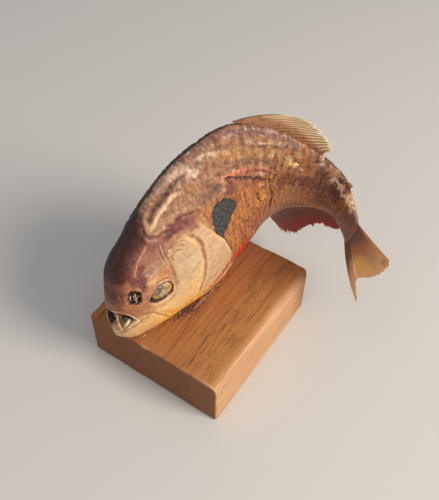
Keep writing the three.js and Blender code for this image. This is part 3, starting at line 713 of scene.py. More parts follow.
def relief(s, h, w):
    """Millimetres that the skin stands out from the plain body."""

    def line(points, deep, wide, shift=0.0, fade_in=0.12, fade_out=0.85):
        """A groove on a line, or at this shift from it, that fades out towards both ends."""
        gap, share = off_line(s, h, points)
        return groove(gap - shift, deep, wide) * (ramp(share, 0, fade_in) * ramp(share, 1, fade_out))

    on_side = ramp(np.abs(w), 0.012, 0.03)
    out = np.full(s.shape, -SKIN_INSET)
    # head bones
    out -= line(BROW, 0.32, 0.42) * on_side
    out += line(LID_LINE, 0.3, 0.4)
    for points in CHEEK_ARCS:
        out += line(points, 0.12, 0.3, 0, 0.3, 0.7)
    for points in FACE_VEINS:
        out += line(points, 0.10, 0.4, 0, 0.2, 0.8)
    out -= 0.07 * eye_spokes(s, h, wrinkles(s, h, w, 5, 5, 21.0))
    out -= line(LOBE_RIM, 0.22, 0.35)
    out += line(CHEEK_EDGE, 0.16, 0.6)
    out += line(JAW_CREASE, 0.18, 0.5) * on_side
    out -= line(CHEEK_CREASE, 0.28, 0.32) - line(CHEEK_CREASE, 0.2, 0.35, 0.7)
    cheek = inside(s, h, CHEEK_BONE)
    out += 0.35 * ramp(cheek, -0.2, 2.2)
    off_seam, seam_share = off_line(s, h, COVER_LINE)
    out += groove(off_seam, 0.16, 0.6) * ramp(seam_share, 0, 0.1)
    out -= groove(off_seam - 1.2, 0.10, 0.6) * ramp(seam_share, 0, 0.1)
    cover = inside(s, h, COVER)
    off_cover = off_line(s, h, COVER_EDGE)[0] + 4 * (cover > 0.4)
    out += 0.25 * ramp(cover, 0.0, 0.5) * ramp(s, 0.3, 0.36) * ramp(h, 0.08, 0.0)
    out += groove(off_cover, 0.3, 0.8) * ramp(s, 0.25, 0.33) * ramp(h, 0.08, 0.0)
    out -= 0.5 * ramp(np.hypot((s - 0.17) / 0.05, (h - 0.085) / 0.028), 1.2, 0.2)
    # eye socket, nostril and lips
    eye = inside(s, h, EYE_RIM)
    rim = np.clip(0.5 + wrinkles(s, h, w, 3, 2.4, 9.0), 0, 1)
    lid = ramp(h, -0.02, 0.005)
    out += (0.12 + 0.22 * lid) * rim * np.exp(-((eye + 0.45) / 0.4) ** 2)
    out -= 2.6 * ramp(eye + 0.3 * rim, 0.1, 0.6)
    nostril = inside(s, h, NOSTRIL_RIM) + 0.9 * wrinkles(s, h, w, 1.1, 1.1, 12.0)
    out += 0.18 * rim * np.exp(-((nostril + 0.7) / 0.5) ** 2) - 1.9 * ramp(nostril, 0.0, 0.45)
    out -= groove(off_line(s, h, UPPER_LIP)[0], 0.28, 0.4)
    out -= groove(off_line(s, h, LOWER_LIP)[0], 0.25, 0.45)
    # muscles of the nape and flank
    broken = np.clip(0.75 + 0.9 * wrinkles(s, h, w, 4, 4, 13.0), 0.15, 1.3)
    lobe = ramp(s, 0.21, 0.25) * ramp(s, 0.46, 0.36)
    out += line(NAPE_EDGE, 0.38, 0.55) * broken
    out -= line(NAPE_EDGE, 0.15, 1.0, 1.6) * ramp(h, 0.125, 0.14)
    out -= line(NAPE_RIDGE, 0.55, 0.75)
    out += groove(off_line(s, h, NAPE_HOLLOW)[0], 0.8, 1.1) * lobe
    out -= line(FLANK_RIDGE, 0.55, 1.1)
    for points, deep, wide in (
        (FLANK_GROOVE, 0.55, 0.6), (UPPER_CREASE, 0.3, 1.1), (BAND_CREASE, 0.22, 0.9),
        (FRONT_FOLD, 0.3, 0.5), (REAR_FOLD, 0.5, 0.6),
    ):
        out += line(points, deep, wide) * broken
    out += 0.3 * ramp(inside(s, h, LOZENGE), -0.3, 0.9)
    # shrunken skin
    flank = ramp(s, 0.36, 0.5) * ramp(s, 1.0, 0.9) * ramp(h, 0.13, 0.06) * ramp(s, 0.7, 0.62)
    bone = 1 - 0.75 * ramp(cheek, -0.5, 1.0)
    out += 0.20 * wrinkles(s, h, w, 9, 5, 1.0) * ramp(s, 0.0, 0.3)
    out -= 0.13 * creased(s, h, w, 5, 2.2, 7.0) * ramp(s, 0.4, 0.3) * bone
    out -= 0.07 * creased(s, h, w, 3, 3, 10.0) * ramp(s, 0.42, 0.34)
    sway = 0.010 * wrinkles(s, h, w, 7, 4, 8.0)
    out -= 0.42 * creased(s + sway, h, w, 1.7, 12, 2.0) * flank
    out -= 0.17 * creased(s + sway, h, w, 1.8, 7.0, 3.0) * ramp(s, 0.56, 0.66) * ramp(s, 0.98, 0.88)
    upper = ramp(s, 0.25, 0.36) * ramp(h, 0.08, 0.14)
    out -= 0.22 * creased(s - 0.5 * h, h, w, 1.8, 6.0, 6.0) * upper
    hump = np.sin(s * LENGTH / MM * math.tau / 3.4 + 1.2 + 60 * sway) * ramp(h, 0.1, 0.13) * on_side
    out += 0.09 * hump * ramp(s, 0.42, 0.5) * ramp(s, 0.74, 0.68)
    smooth = 1 - 0.7 * ramp(cover, 0.0, 0.5) * ramp(h, 0.09, 0.05)
    out += 0.16 * wrinkles(s, h, w, 1.6, 1.2, 4.0) * (0.25 + 0.75 * ramp(s, 0.25, 0.4)) * smooth
    out += 0.12 * wrinkles(s, h, w, 0.9, 3.0, 5.0) * ramp(s, 0.22, 0.3) * smooth
    out += 0.16 * wrinkles(s, h, w, 7, 2.6, 31.0) * (1 - smooth)
    return out


def opened(s, h, w):
    """Presses the gape back into the head, and leaves all else where it is."""
    deep = ramp(inside(s, h, GAPE), 0.0, 0.9) * ramp(s, 0.06, 0.05)
    back_wall = 0.052 + 0.2 * np.abs(w)
    in_s = s + (np.maximum(back_wall, s) - s) * deep
    in_w = w * (1 - 0.42 * deep)
    in_h = h + (np.clip(h, -0.037, 0.012) * 0.8 - h) * deep * 0.9
    return in_s, in_h, in_w, deep


def even_turns(s):
    """Turns that space the points of each section evenly down each side."""
    fine = np.linspace(0, math.pi, 361)
    h, w = section(s[:, None], fine[None, :])
    run = np.hypot(np.diff(h, axis=1), np.diff(w, axis=1))
    run = np.concatenate([np.zeros((len(s), 1)), np.cumsum(run, axis=1)], axis=1)
    sides = [
        np.array([np.interp(np.linspace(0, row[-1], count + 1), row, fine) for row in run])
        for count in (SKIN_RIGHT, SKIN_LEFT)
    ]
    return np.concatenate([-sides[0][:, ::-1], sides[1][:, 1:]], axis=1)


ends = zip(SKIN_ROW_ENDS, SKIN_ROW_ENDS[1:], SKIN_ROWS)
steps = [np.linspace(a, b, n, endpoint=False) for a, b, n in ends]
skin_s = np.concatenate([*steps, SKIN_ROW_ENDS[-1:]])
skin_turn = even_turns(skin_s)
skin_s = np.repeat(skin_s[:, None], SKIN_AROUND + 1, axis=1)
skin_h, skin_w = section(np.minimum(skin_s, 1.0), skin_turn)
# the flesh thins out over the roots of the tail's rays
skin_w = skin_w * np.clip((1.012 - skin_s) / 0.02, 0, 1) ** 0.5
nose_h, _ = section(np.full(1, SKIN_ROW_ENDS[0]), np.full(1, math.pi / 2))
skin_h[0], skin_w[0] = nose_h[0], 0


def outward_of(place):
    along = np.gradient(place, axis=0)
    around = np.gradient(place, axis=1)
    seam = (place[:, 1] - place[:, -2]) / 2
    around[:, 0] = around[:, -1] = seam
    normal = np.cross(around, along)
    normal[0] = normal[1].mean(axis=0)
    return normal / np.maximum(np.linalg.norm(normal, axis=2, keepdims=True), 1e-12)


plain = set_at(skin_s, skin_h, skin_w)
skin_out = outward_of(plain)
in_s, in_h, in_w, skin_gape = opened(skin_s, skin_h, skin_w)
skin_rise = relief(skin_s, skin_h, skin_w)
fade = ramp(skin_s, -0.035, -0.02) * ramp(skin_s, 1.01, 0.99)
skin_place = set_at(in_s, in_h, in_w) + skin_out * (skin_rise * MM * fade * (1 - skin_gape))[:, :, None]
# the keel is filed flat where it stands on the block
on_block = skin_place[:, :, 0] < BLOCK_HIGH.x
skin_place[:, :, 2] = np.where(
    on_block, np.maximum(skin_place[:, :, 2], BLOCK_TOP + 0.1 * MM), skin_place[:, :, 2],
)

# ------------------------------------------------------------------ the skin, its colours
# The old colours have browned under the varnish: near black along the back, on the right side
# deepened by painted shade, horn and cream over the bones of the head, gold on the belly, with a
# slate mark on the shoulder and a red keel. Painted highlights lie on some crests, and painted
# shade in the valleys, the mouth, the gap under the gill cover and the holes of the head.


def dye(red, green, blue):
    """A screen colour from 0 to 255 as the light it stands for."""
    shares = [c / 255 for c in (red, green, blue)]
    return np.array([c / 12.92 if c < 0.04 else ((c + 0.055) / 1.055) ** 2.4 for c in shares])


def lay(under, colour, amount):
    """Colours under, with one colour or as many laid over them by this amount at each point."""
    return under + (colour - under) * np.clip(amount, 0, 1)[:, None]


def laid(under, *layers):
    """Colours under, with each layer's screen colour laid over them in turn by its own amount."""
    for shade, amount in layers:
        under = lay(under, dye(*shade), amount)
    return under


BROWS_BACK = [(0, 6), (5.4, 9.2), (11.4, 10.6), (16.2, 13.4), (20, 15), (23, 20), (20, 30), (-5, 30)]
RED_LINE = [(41.2, -16.5), (42.7, -17.2), (46, -18.2), (49.5, -19.3), (53, -18.8), (55.5, -17.6)]
THROAT_LINE = [(16, -15.5), (20, -16.6), (25, -17.6), (30, -17.6), (35, -17.2), (40, -16.6)]
COVER_GAP = [(33.5, -15.8), (37, -15), (39.8, -14), (41.2, -11.8)]
BACK_LINE = [(50, 18.4), (51.5, 18.1), (53, 17.8), (55.2, 17.3), (57, 16.6), (59.3, 16), (60.7, 14.2)]
# middle s and h, half length and half height (all in percent of the standard length), rise of
# the long way, colour, and strength
BLOTCHES = (
    # along the back
    (40, 27.5, 10, 1.4, 0.1, (136, 96, 78), 0.7), (38.7, 25.7, 2.2, 1.2, 0.2, (146, 112, 84), 0.8),
    (43, 26.3, 1.6, 0.7, 0.1, (140, 90, 72), 0.8), (42.8, 27.5, 0.8, 0.4, 0.1, (208, 188, 176), 0.8),
    (51.6, 28.7, 1.2, 0.6, 0, (140, 84, 80), 0.8), (48.5, 28.2, 2.2, 0.8, 0, (136, 90, 74), 0.8),
    (52.4, 28.1, 0.8, 0.5, 0, (200, 164, 152), 0.8), (51.1, 27.4, 0.7, 0.4, 0, (208, 184, 160), 0.7),
    (55, 26.5, 2.2, 0.8, -0.2, (144, 102, 84), 0.85), (53.7, 28.1, 1, 0.6, 0, (84, 50, 42), 0.85),
    (57.7, 26.8, 4, 1.2, -0.4, (120, 80, 68), 0.85), (61.5, 23.4, 1.6, 0.8, -0.5, (160, 114, 90), 0.7),
    (62, 24.8, 3, 1.2, -0.5, (134, 94, 78), 0.8), (66.4, 22.1, 2.2, 1.2, -0.7, (130, 98, 84), 0.85),
    (68.4, 20.3, 1.4, 1.2, -0.7, (146, 120, 110), 0.8),
    # the white patches behind the head, with dark places between them
    (33, 23.5, 3.5, 1.4, 0.2, (178, 142, 118), 0.7), (35.5, 22.5, 1.4, 1, 0.3, (200, 184, 172), 0.7),
    (40.8, 23.8, 2, 1.2, 0.3, (188, 164, 140), 0.85), (40.9, 22.6, 1.3, 0.8, 0.3, (212, 188, 162), 0.8),
    (43.6, 25.6, 1, 0.7, 0.2, (210, 186, 160), 0.85), (42.3, 24.3, 1, 0.6, 0.3, (130, 106, 92), 0.8),
    (46.2, 24.9, 1.2, 0.8, -0.1, (218, 194, 162), 0.9), (43.1, 21.9, 1.4, 0.6, 0.4, (128, 82, 60), 0.7),
    (37.2, 21.7, 0.45, 0.45, 0, (54, 32, 24), 0.95), (30, 21.4, 2.2, 1.4, 0.2, (182, 140, 114), 0.7),
    (37.5, 24, 3.4, 2, 0.2, (216, 184, 158), 0.75), (64.9, 20.5, 1.8, 1.2, -0.4, (182, 142, 114), 0.8),
    (30.2, 21.4, 1.8, 1, 0.2, (182, 142, 116), 0.7), (30.5, 19.4, 1.2, 0.6, 0.4, (150, 112, 88), 0.7),
    (29.8, 22.4, 5, 1.4, 0.15, (206, 170, 144), 0.65), (26.2, 20.6, 1.6, 0.8, 0.6, (176, 136, 108), 0.6),
    # the bands of the upper flank
    (43.7, 20.3, 4.5, 1.4, 0, (174, 128, 92), 0.8), (50, 23.6, 3, 0.8, -0.1, (190, 142, 88), 0.8),
    (53, 21.5, 4.5, 1.3, -0.3, (190, 140, 84), 0.85), (57.5, 20, 3, 1.2, -0.4, (186, 136, 86), 0.85),
    # painted highlights: the pale pink spots on the crests of the upper bands
    (55.9, 24.1, 1.4, 0.6, -0.3, (208, 174, 148), 0.8), (59.1, 22.2, 1.4, 0.6, -0.3, (224, 190, 166), 0.9),
    (61.6, 21.9, 1, 0.5, -0.4, (214, 178, 152), 0.8), (63.3, 21.6, 0.8, 0.6, -0.4, (204, 168, 144), 0.8),
    (60, 18.6, 2, 1.2, -0.3, (182, 138, 98), 0.8), (63, 18, 2, 1.2, -0.3, (188, 144, 100), 0.8),
    (61.5, 18.4, 0.5, 1, 0.2, (226, 188, 150), 0.7), (69, 17.4, 1.8, 1.2, -0.3, (184, 144, 90), 0.85),
    (66.2, 15.3, 2, 1.5, -0.5, (214, 174, 118), 0.85), (68.7, 13.4, 1.3, 0.9, -0.5, (240, 204, 140), 0.9),
    (70.8, 11.8, 0.9, 0.6, -0.5, (240, 202, 158), 0.9), (64, 12.5, 2, 1.8, -0.2, (168, 116, 74), 0.7),
    # over the mark
    (42.6, 17.5, 1.8, 1.2, 0, (152, 108, 86), 0.8), (43.5, 14.8, 1.6, 1.5, 0, (114, 84, 70), 0.85),
    (40, 14.5, 2.6, 2, 0.1, (140, 100, 80), 0.75), (46.1, 17.7, 1.4, 1, 0, (160, 98, 66), 0.8),
    (47.9, 13.6, 1.3, 1.3, 0, (128, 70, 54), 0.9), (48, 11, 2, 1.8, 0, (132, 74, 56), 0.85),
    # the red ridge along the flank
    (50, 16, 3.2, 1.2, -0.2, (198, 120, 88), 0.85), (54, 14.8, 3.2, 1.3, -0.4, (190, 104, 74), 0.9),
    (57, 14, 2, 1, -0.5, (182, 98, 68), 0.9), (60.5, 11.5, 1.4, 1.6, -0.6, (150, 84, 60), 0.8),
    # painted highlights: the pale pink spots on the ridge and the one below it
    (56, 10.4, 1.6, 1, -0.5, (136, 76, 48), 0.8), (51.2, 15.7, 0.8, 0.4, -0.3, (226, 164, 138), 0.8),
    (53.2, 15.2, 0.8, 0.4, -0.4, (224, 160, 134), 0.7), (55.2, 13.5, 0.8, 0.4, -0.6, (228, 166, 144), 0.8),
    (58, 11.9, 1.7, 0.6, -0.6, (240, 188, 166), 0.95), (59.8, 11.1, 0.8, 0.4, -0.5, (234, 180, 156), 0.8),
    (58.1, 7.2, 0.9, 0.6, -0.3, (240, 192, 168), 0.9), (62.8, 4.5, 0.6, 1.8, 0.2, (200, 140, 74), 0.8),
    # rear flank
    (68.3, 6.6, 4.5, 3.2, -0.3, (128, 66, 38), 0.9), (73.5, 5, 3.4, 2.4, -0.4, (116, 60, 42), 0.85),
    (74.5, 7.8, 1.8, 1.2, -0.4, (88, 46, 40), 0.85), (65.9, 2.6, 1.2, 1.6, 0, (118, 60, 36), 0.8),
    (68, 3, 1.4, 0.8, -0.2, (186, 116, 66), 0.7), (71.6, 4.1, 0.6, 1.2, 0.3, (190, 132, 100), 0.7),
    (70.5, 9, 1.4, 0.7, -0.3, (166, 100, 72), 0.7), (79, 10, 3, 1.8, -0.5, (92, 54, 44), 0.8),
    (69, -4.9, 5, 3, -0.2, (174, 106, 48), 0.8), (77.6, -5.7, 5, 2.6, -0.2, (190, 114, 46), 0.85),
    (78.7, -0.8, 5, 1.4, -0.3, (166, 96, 46), 0.8), (81.5, -8, 5, 1.1, -0.2, (200, 130, 60), 0.85),
    (80, 5, 4, 3, -0.45, (108, 60, 42), 0.8), (85.4, 5.8, 3, 2.2, -0.5, (98, 54, 42), 0.9),
    (88, 3, 2.2, 1.8, -0.6, (106, 62, 48), 0.85), (84.3, -1.2, 4, 1.8, -0.4, (128, 76, 50), 0.7),
    (88.1, 9.1, 1.2, 1, -0.4, (166, 104, 62), 0.85), (85.6, 10.6, 0.6, 0.6, 0, (70, 42, 32), 0.85),
    (91.6, -1.4, 3.2, 2, -0.3, (156, 112, 90), 0.85), (96.5, 2.6, 2.6, 2.2, 0, (122, 96, 88), 0.9),
    (96, -3, 3.4, 2.6, 0, (158, 122, 106), 0.9), (90.5, -6, 3, 1.4, -0.1, (170, 122, 88), 0.8),
    (93, -4, 2, 0.4, -0.2, (196, 160, 132), 0.6),
)
CREAM_PATCHES = (
    (76.9, 14.2, 1.2, 0.9, -0.5, (188, 158, 132), 0.85), (76.8, 15.8, 0.6, 0.4, 0, (226, 200, 180), 0.8),
    (80, 12.8, 1.8, 0.9, -0.5, (156, 118, 96), 0.7), (82.5, 11.8, 1.2, 0.7, -0.5, (198, 158, 140), 0.8),
    (90.6, 6.6, 1.4, 0.8, -0.4, (212, 176, 128), 0.9), (92.2, 5.8, 1.4, 1, -0.4, (216, 182, 134), 0.9),
    (94.2, 4.9, 1.2, 0.8, -0.4, (208, 172, 132), 0.85), (72.5, 18, 1, 0.7, -0.6, (176, 132, 108), 0.7),
)
CREAM_STRIP = [(82.6, 10.4), (83.5, 9.8), (85.4, 9), (87.1, 7.7), (88.5, 6.3), (89.2, 5.5)]
STRIP_CREASE = [(84.2, 9), (85.4, 8.3), (86.5, 7.3), (88.3, 5.6), (89.3, 4.6)]
MARK_STREAK = [(46.2, 16.6), (46.1, 15.8), (45.9, 13.7), (45.6, 11.6)]
HEAD_BLOTCHES = (
    # between brow and cheek: pinkish grey, maroon along the brow, gold and orange over the eye
    (18.5, 10, 4.5, 3, 0.3, (164, 118, 94), 0.85), (17.5, 7.5, 3, 2, 0.3, (182, 138, 112), 0.8),
    (13.4, 9, 2.4, 1.3, 0.5, (114, 52, 40), 0.95), (12.3, 6.8, 2, 1.6, 0.8, (100, 42, 34), 0.95),
    (11.2, 4.8, 1.8, 1.2, 0.8, (106, 50, 46), 0.9), (15.2, 7.2, 1.6, 1, 0, (152, 94, 76), 0.7),
    (10.6, 9, 2, 1.3, 0.9, (108, 54, 44), 0.9), (9.8, 7.2, 1.4, 1, 0.5, (116, 64, 50), 0.8),
    (12.2, 11.2, 3.2, 1.2, 0.3, (106, 56, 46), 0.9), (16, 13.6, 3.2, 1, 0.3, (100, 54, 44), 0.9),
    (23.5, 10, 3, 1.4, 0.2, (168, 122, 102), 0.8), (20.5, 12, 3, 1.2, 0.2, (138, 88, 76), 0.7),
    (15, 4, 2.6, 1.3, -0.3, (206, 158, 100), 0.9), (18.2, 2.8, 1.6, 1.4, -0.5, (200, 132, 78), 0.85),
    (19.6, 2.8, 1, 1.4, 0, (186, 114, 64), 0.8), (12.7, 3, 1.8, 1.2, -0.3, (178, 114, 70), 0.7),
    # the purple stain behind the cheek
    (29.7, 11.9, 3, 1.5, 0.1, (124, 66, 60), 0.95), (33, 9.6, 2.2, 3, -0.3, (146, 88, 76), 0.9),
    (31.8, 12.2, 2.2, 1.6, 0, (134, 78, 68), 0.9), (26.8, 12, 2.2, 1.2, 0.25, (106, 56, 58), 0.9),
    (29, 9, 3, 1, 0.05, (186, 136, 100), 0.7), (33, 6.2, 2.4, 1, -0.9, (208, 160, 96), 0.8),
    (35.2, 5, 1.2, 4, 0.1, (214, 164, 92), 0.8), (37.2, 9, 1.2, 2.2, 0, (184, 128, 82), 0.8),
    (36.2, 1.2, 1.2, 1.6, 0, (222, 192, 150), 0.7), (31.2, 6.2, 1, 0.6, -0.4, (240, 206, 168), 0.9),
    # snout and jaw
    (5.8, 9, 1.4, 1.6, 0.5, (138, 82, 62), 0.8), (5.5, 1, 5, 1.8, -0.1, (162, 104, 62), 0.7),
    (11.5, -4, 3, 1.4, -0.3, (214, 168, 108), 0.6), (5, 6.2, 3, 1.2, 0.6, (128, 74, 50), 0.7),
    (9.3, 1.8, 1.4, 1.2, 0, (176, 112, 70), 0.6),
)
CHEEK_PATCHES = (
    (23.8, 3.8, 2, 1.4, 0, (186, 156, 126), 0.7), (26.8, 6, 2, 1, 0, (206, 156, 116), 0.5),
    (30, 5, 1.2, 1.8, 0, (212, 166, 118), 0.6), (25.5, -5, 3, 1.2, 0.5, (226, 186, 124), 0.6),
    (20.6, -4.5, 1.2, 2.2, 0, (216, 176, 120), 0.6), (27.8, 0, 2.2, 1.6, 0, (214, 184, 142), 0.6),
    (24, 0, 1.4, 1, 0, (190, 158, 118), 0.5), (22.2, -8.5, 2, 1, 0.5, (232, 190, 116), 0.6),
    (22.4, 6.6, 1.2, 0.8, 0.5, (176, 122, 88), 0.7), (15, -9, 2.4, 1.4, -0.2, (212, 178, 138), 0.6),
    # painted highlight: the pale streak on the lower gill cover
    (33.6, -11.5, 1.4, 3.2, 0.1, (238, 200, 152), 0.8), (34.5, 4, 1, 1.2, 0, (192, 132, 72), 0.7),
    (37.5, -3, 0.8, 3, 0, (206, 158, 112), 0.7), (5.3, -3, 1.2, 0.8, -0.3, (226, 178, 128), 0.7),
)


def blotched(colour, s, h, places):
    for *size, rise, shade, strength in places:
        at_s, at_h, long, high = (value / 100 for value in size)
        along = ((s - at_s) * math.cos(rise) + (h - at_h) * math.sin(rise)) / long
        across = ((h - at_h) * math.cos(rise) - (s - at_s) * math.sin(rise)) / high
        colour = lay(colour, dye(*shade), ramp(np.hypot(along, across), 1.45, 0.55) * strength)
    return colour


def streak_of(s, h, points, wide):
    """1 on a line, fading out to nothing at this many millimetres and at its two ends."""
    off, share = off_line(s, h, points)
    return ramp(off, wide, wide * 0.35) * ramp(share, 0, 0.06) * ramp(share, 1, 0.94)


def markings(s, h, w, place, cavity):
    """The colour of the skin at each point, how strongly it is flecked, and how fibrous it is."""
    cloud = fuzz(place, 5 * MM, 3, 1.0)
    fine = fuzz(place, 1.6 * MM, 3, 2.0)
    drift = fuzz(place, 2.2 * MM, 2, 3.0)
    s_plain, h_plain = s, h
    s = s + 0.007 * drift
    h = h + 0.007 * fine
    top, bottom = fair(BODY, np.clip(s, -0.03, 1))[:, :2].T
    from_top = (top - h_plain) * LENGTH / MM
    from_keel = (h - bottom) * LENGTH / MM
    ragged = ramp(fine + 0.4 * cloud, -0.35, 0.1)

    def streak(points, wide):
        return streak_of(s, h, points, wide)

    # flank: brown above, golden over the belly, darker and redder to the rear
    colour = laid(
        np.tile(dye(166, 118, 82), (len(s), 1)),
        ((178, 112, 60), ramp(h, 0.15, 0.08)),
        ((190, 122, 60), ramp(h, 0.09, -0.01) * ramp(s, 0.38, 0.46)),
        ((170, 98, 50), ramp(h, -0.01, -0.06) * ramp(s, 0.42, 0.50) * 0.8),
        ((158, 98, 54), ramp(s, 0.60, 0.66) * 0.8),
        ((158, 98, 56), ramp(s, 0.72, 0.82) * 0.8),
        ((142, 110, 96), ramp(s, 0.93, 0.975) * 0.9),
        ((196, 146, 82), ramp(s, 0.60, 0.68) * ramp(s, 0.94, 0.88) * ramp(from_keel, 7.5, 3) * 0.8),
    )
    colour = blotched(colour, s, h, BLOTCHES)
    rear_back = ramp(s, 0.70, 0.76) * ramp(from_top, 5, 3) * ramp(s, 0.95, 0.9) * ragged
    colour = laid(colour, ((62, 40, 34), rear_back * 0.8))
    colour = lay(colour, blotched(colour, s, h, CREAM_PATCHES), ragged)
    lobe = inside(s, h, [*NAPE_EDGE, (40, 16), (42, 22), (34, 23.2), (29, 22)])
    colour = laid(
        colour,
        # nape lobe
        ((178, 132, 96), ramp(lobe, -0.2, 1.2) * ramp(s, 0.40, 0.32) * 0.9),
        ((222, 186, 146), streak(NAPE_RIDGE, 1.1) * 0.8),
        ((132, 94, 70), streak(NAPE_HOLLOW, 1.4) * ramp(drift, -0.5, 0.3) * 0.6),
        ((128, 80, 56), streak(NAPE_EDGE, 1.3) * 0.85),
        # creases of the flank
        ((104, 58, 42), streak(BACK_LINE, 0.55) * 0.7),
        ((84, 40, 32), streak(FLANK_GROOVE, 1.1) * ramp(drift, -0.7, 0.1) * 0.85),
        ((222, 172, 142), streak(MARK_STREAK, 0.6) * 0.6),
        ((208, 170, 148), streak(CREAM_STRIP, 1.5) * 0.9),
        ((62, 36, 28), streak(STRIP_CREASE, 0.9) * 0.85),
        ((120, 70, 40), streak(FRONT_FOLD, 0.8) * ramp(drift, -0.6, 0.2) * 0.7),
        ((92, 48, 30), streak(REAR_FOLD, 0.9) * ramp(drift, -0.8, 0.0) * 0.8),
        ((202, 140, 54), ramp(inside(s, h, LOZENGE), -0.1, 0.7) * 0.85),
    )
    # skull, snout and brow
    skull = inside(s, h, BROWS_BACK)
    face = laid(
        np.tile(dye(186, 136, 98), (len(s), 1)),
        ((172, 114, 74), ramp(s, 0.14, 0.05)),
        ((150, 92, 66), ramp(h, 0.095, 0.115) * ramp(s, 0.04, 0.08) * 0.8),
        ((116, 50, 34), ramp(skull, -0.9, 0.9) * ramp(s, 0.0, 0.06)),
        ((76, 36, 26), ramp(from_top + 1.6 * fine, 6.0, 2.4) * ramp(s, 0.0, 0.05)),
    )
    face = blotched(face, s, h, HEAD_BLOTCHES)
    redden = np.maximum(ramp(h, 0.06, 0.12), ramp(s, 0.12, 0.08) * ramp(h, 0.0, 0.04))
    redden = redden * ramp(s, 0.36, 0.30)
    face = face * (1 - redden[:, None] * (0.08, 0.24, 0.32))
    face = laid(face, ((196, 118, 74), streak(BROW, 1.3) * 0.35))
    # cheek, gill cover and jaw
    cheek = inside(s, h, CHEEK_BONE)
    cream = lay(dye(196, 164, 124), dye(228, 184, 120), ramp(h, -0.03, -0.1))
    face = lay(face, cream, ramp(cheek, -0.5, 1.6) * 0.95)
    by_edge = ramp(cheek, 0, 0.8) * ramp(cheek, 2.6, 1.0) * ramp(h, 0.02, 0.07)
    face = laid(face, ((222, 172, 116), by_edge * 0.6))
    face = blotched(face, s, h, CHEEK_PATCHES)
    on_cover = ramp(inside(s, h, COVER), 0.0, 0.5) * ramp(cheek, 0.2, -0.8) * ramp(s, 0.19, 0.22)
    low_rim = ramp(h + 0.35 * (s - 0.2), -0.10, -0.128) * ramp(s, 0.05, 0.11) * ramp(s, 0.33, 0.25)
    nostril = inside(s, h, NOSTRIL_RIM)
    eye = inside(s, h, EYE_RIM)
    face = laid(
        face,
        ((200, 165, 126), on_cover * ramp(h, 0.09, 0.055)),
        ((214, 158, 92), on_cover * ramp(cloud + 0.4 * drift, 0.1, 0.7) * ramp(h, 0.08, 0.05) * 0.4),
        ((222, 174, 112), ramp(h, -0.035, -0.05) * ramp(s, 0.18, 0.10)),
        ((246, 186, 76), low_rim * 0.85),
        ((196, 132, 84), ramp(np.abs(nostril + 0.9), 1.3, 0.3) * ramp(fine, -0.4, 0.5) * 0.6),
        # painted shade inside the nostril
        ((110, 66, 44), ramp(nostril, -0.9, -0.1) * 0.7),
        ((134, 90, 66), ramp(np.abs(eye + 0.4), 0.7, 0.2) * ramp(h, -0.02, 0.0) * 0.8),
        ((214, 168, 114), ramp(np.abs(eye + 0.9), 1.0, 0.2) * ramp(h, -0.02, -0.03) * 0.4),
    )
    face = face * (1 + 0.16 * eye_spokes(s_plain, h_plain, fine))[:, None]
    veins = 1 - np.minimum(1, np.abs(fuzz(place, 4.5 * MM, 3, 6.0)) * 9)
    seam = streak(COVER_LINE, 1.7) * ramp(drift, -0.8, 0.1) * ramp(h, -0.12, 0.03)
    face = laid(
        face,
        ((172, 108, 66), seam * 0.8),
        ((178, 128, 82), streak(CHEEK_EDGE, 0.9) * 0.5),
        *(((150, 98, 62), streak(points, 0.5) * 0.8) for points in CHEEK_ARCS),
        ((170, 110, 66), streak(JAW_CREASE, 0.5) * 0.4),
        ((226, 158, 84), veins * ramp(h, 0.09, 0.04) * ramp(s, 0.12, 0.2) * 0.4),
    )
    head = ramp(inside(s, h, HEAD_EDGE), -0.4, 0.4)
    colour = lay(colour, face, head)
    # the lips, the back of the right side, its own dark colour deepened by painted shade, the strip under
    # the gill cover, painted shade in the gap between the gill cover and that strip, and the red keel
    off_upper, off_lower = (off_line(s_plain, h_plain, points)[0] for points in (UPPER_LIP, LOWER_LIP))
    on_right = ramp(w + 0.004 * fine, 0.006, -0.004) * ramp(s, 0.03, 0.1) * ramp(s, 0.8, 0.7)
    colour = laid(
        colour,
        ((232, 204, 166), ramp(off_upper, 0.42, 0.15) * ramp(np.abs(s - 0.02), 0.004, 0.010) * 0.9),
        ((240, 206, 156), ramp(off_lower, 0.9, 0.3) * 0.8),
        # painted shade: the right side, turned from the light, is darkened along the back
        ((46, 32, 28), on_right * ramp(from_top + 1.5 * cloud, 7.5, 4) * 0.92),
        ((232, 154, 108), streak_of(s_plain, h_plain, THROAT_LINE, 1.5) * 0.9),
        # painted shade in the gap between the gill cover and the strip under it
        ((58, 28, 22), streak_of(s_plain, h_plain, COVER_GAP, 0.7) * 0.9),
        ((236, 48, 20), streak_of(s_plain, h_plain, RED_LINE, 2.0)),
        ((214, 60, 30), ramp(h, -0.19, -0.2) * ramp(s, 0.41, 0.43) * ramp(s, 0.57, 0.55)),
    )
    # painted shade darkens the valleys and painted light brightens the crests, less so on the mark
    on_mark = ramp(inside(s_plain, h_plain, MARK), -0.3, 0.3)
    colour = colour * (1 + np.clip(cavity * 1.9, -0.5, 0.35) * (1 - 0.6 * on_mark))[:, None]
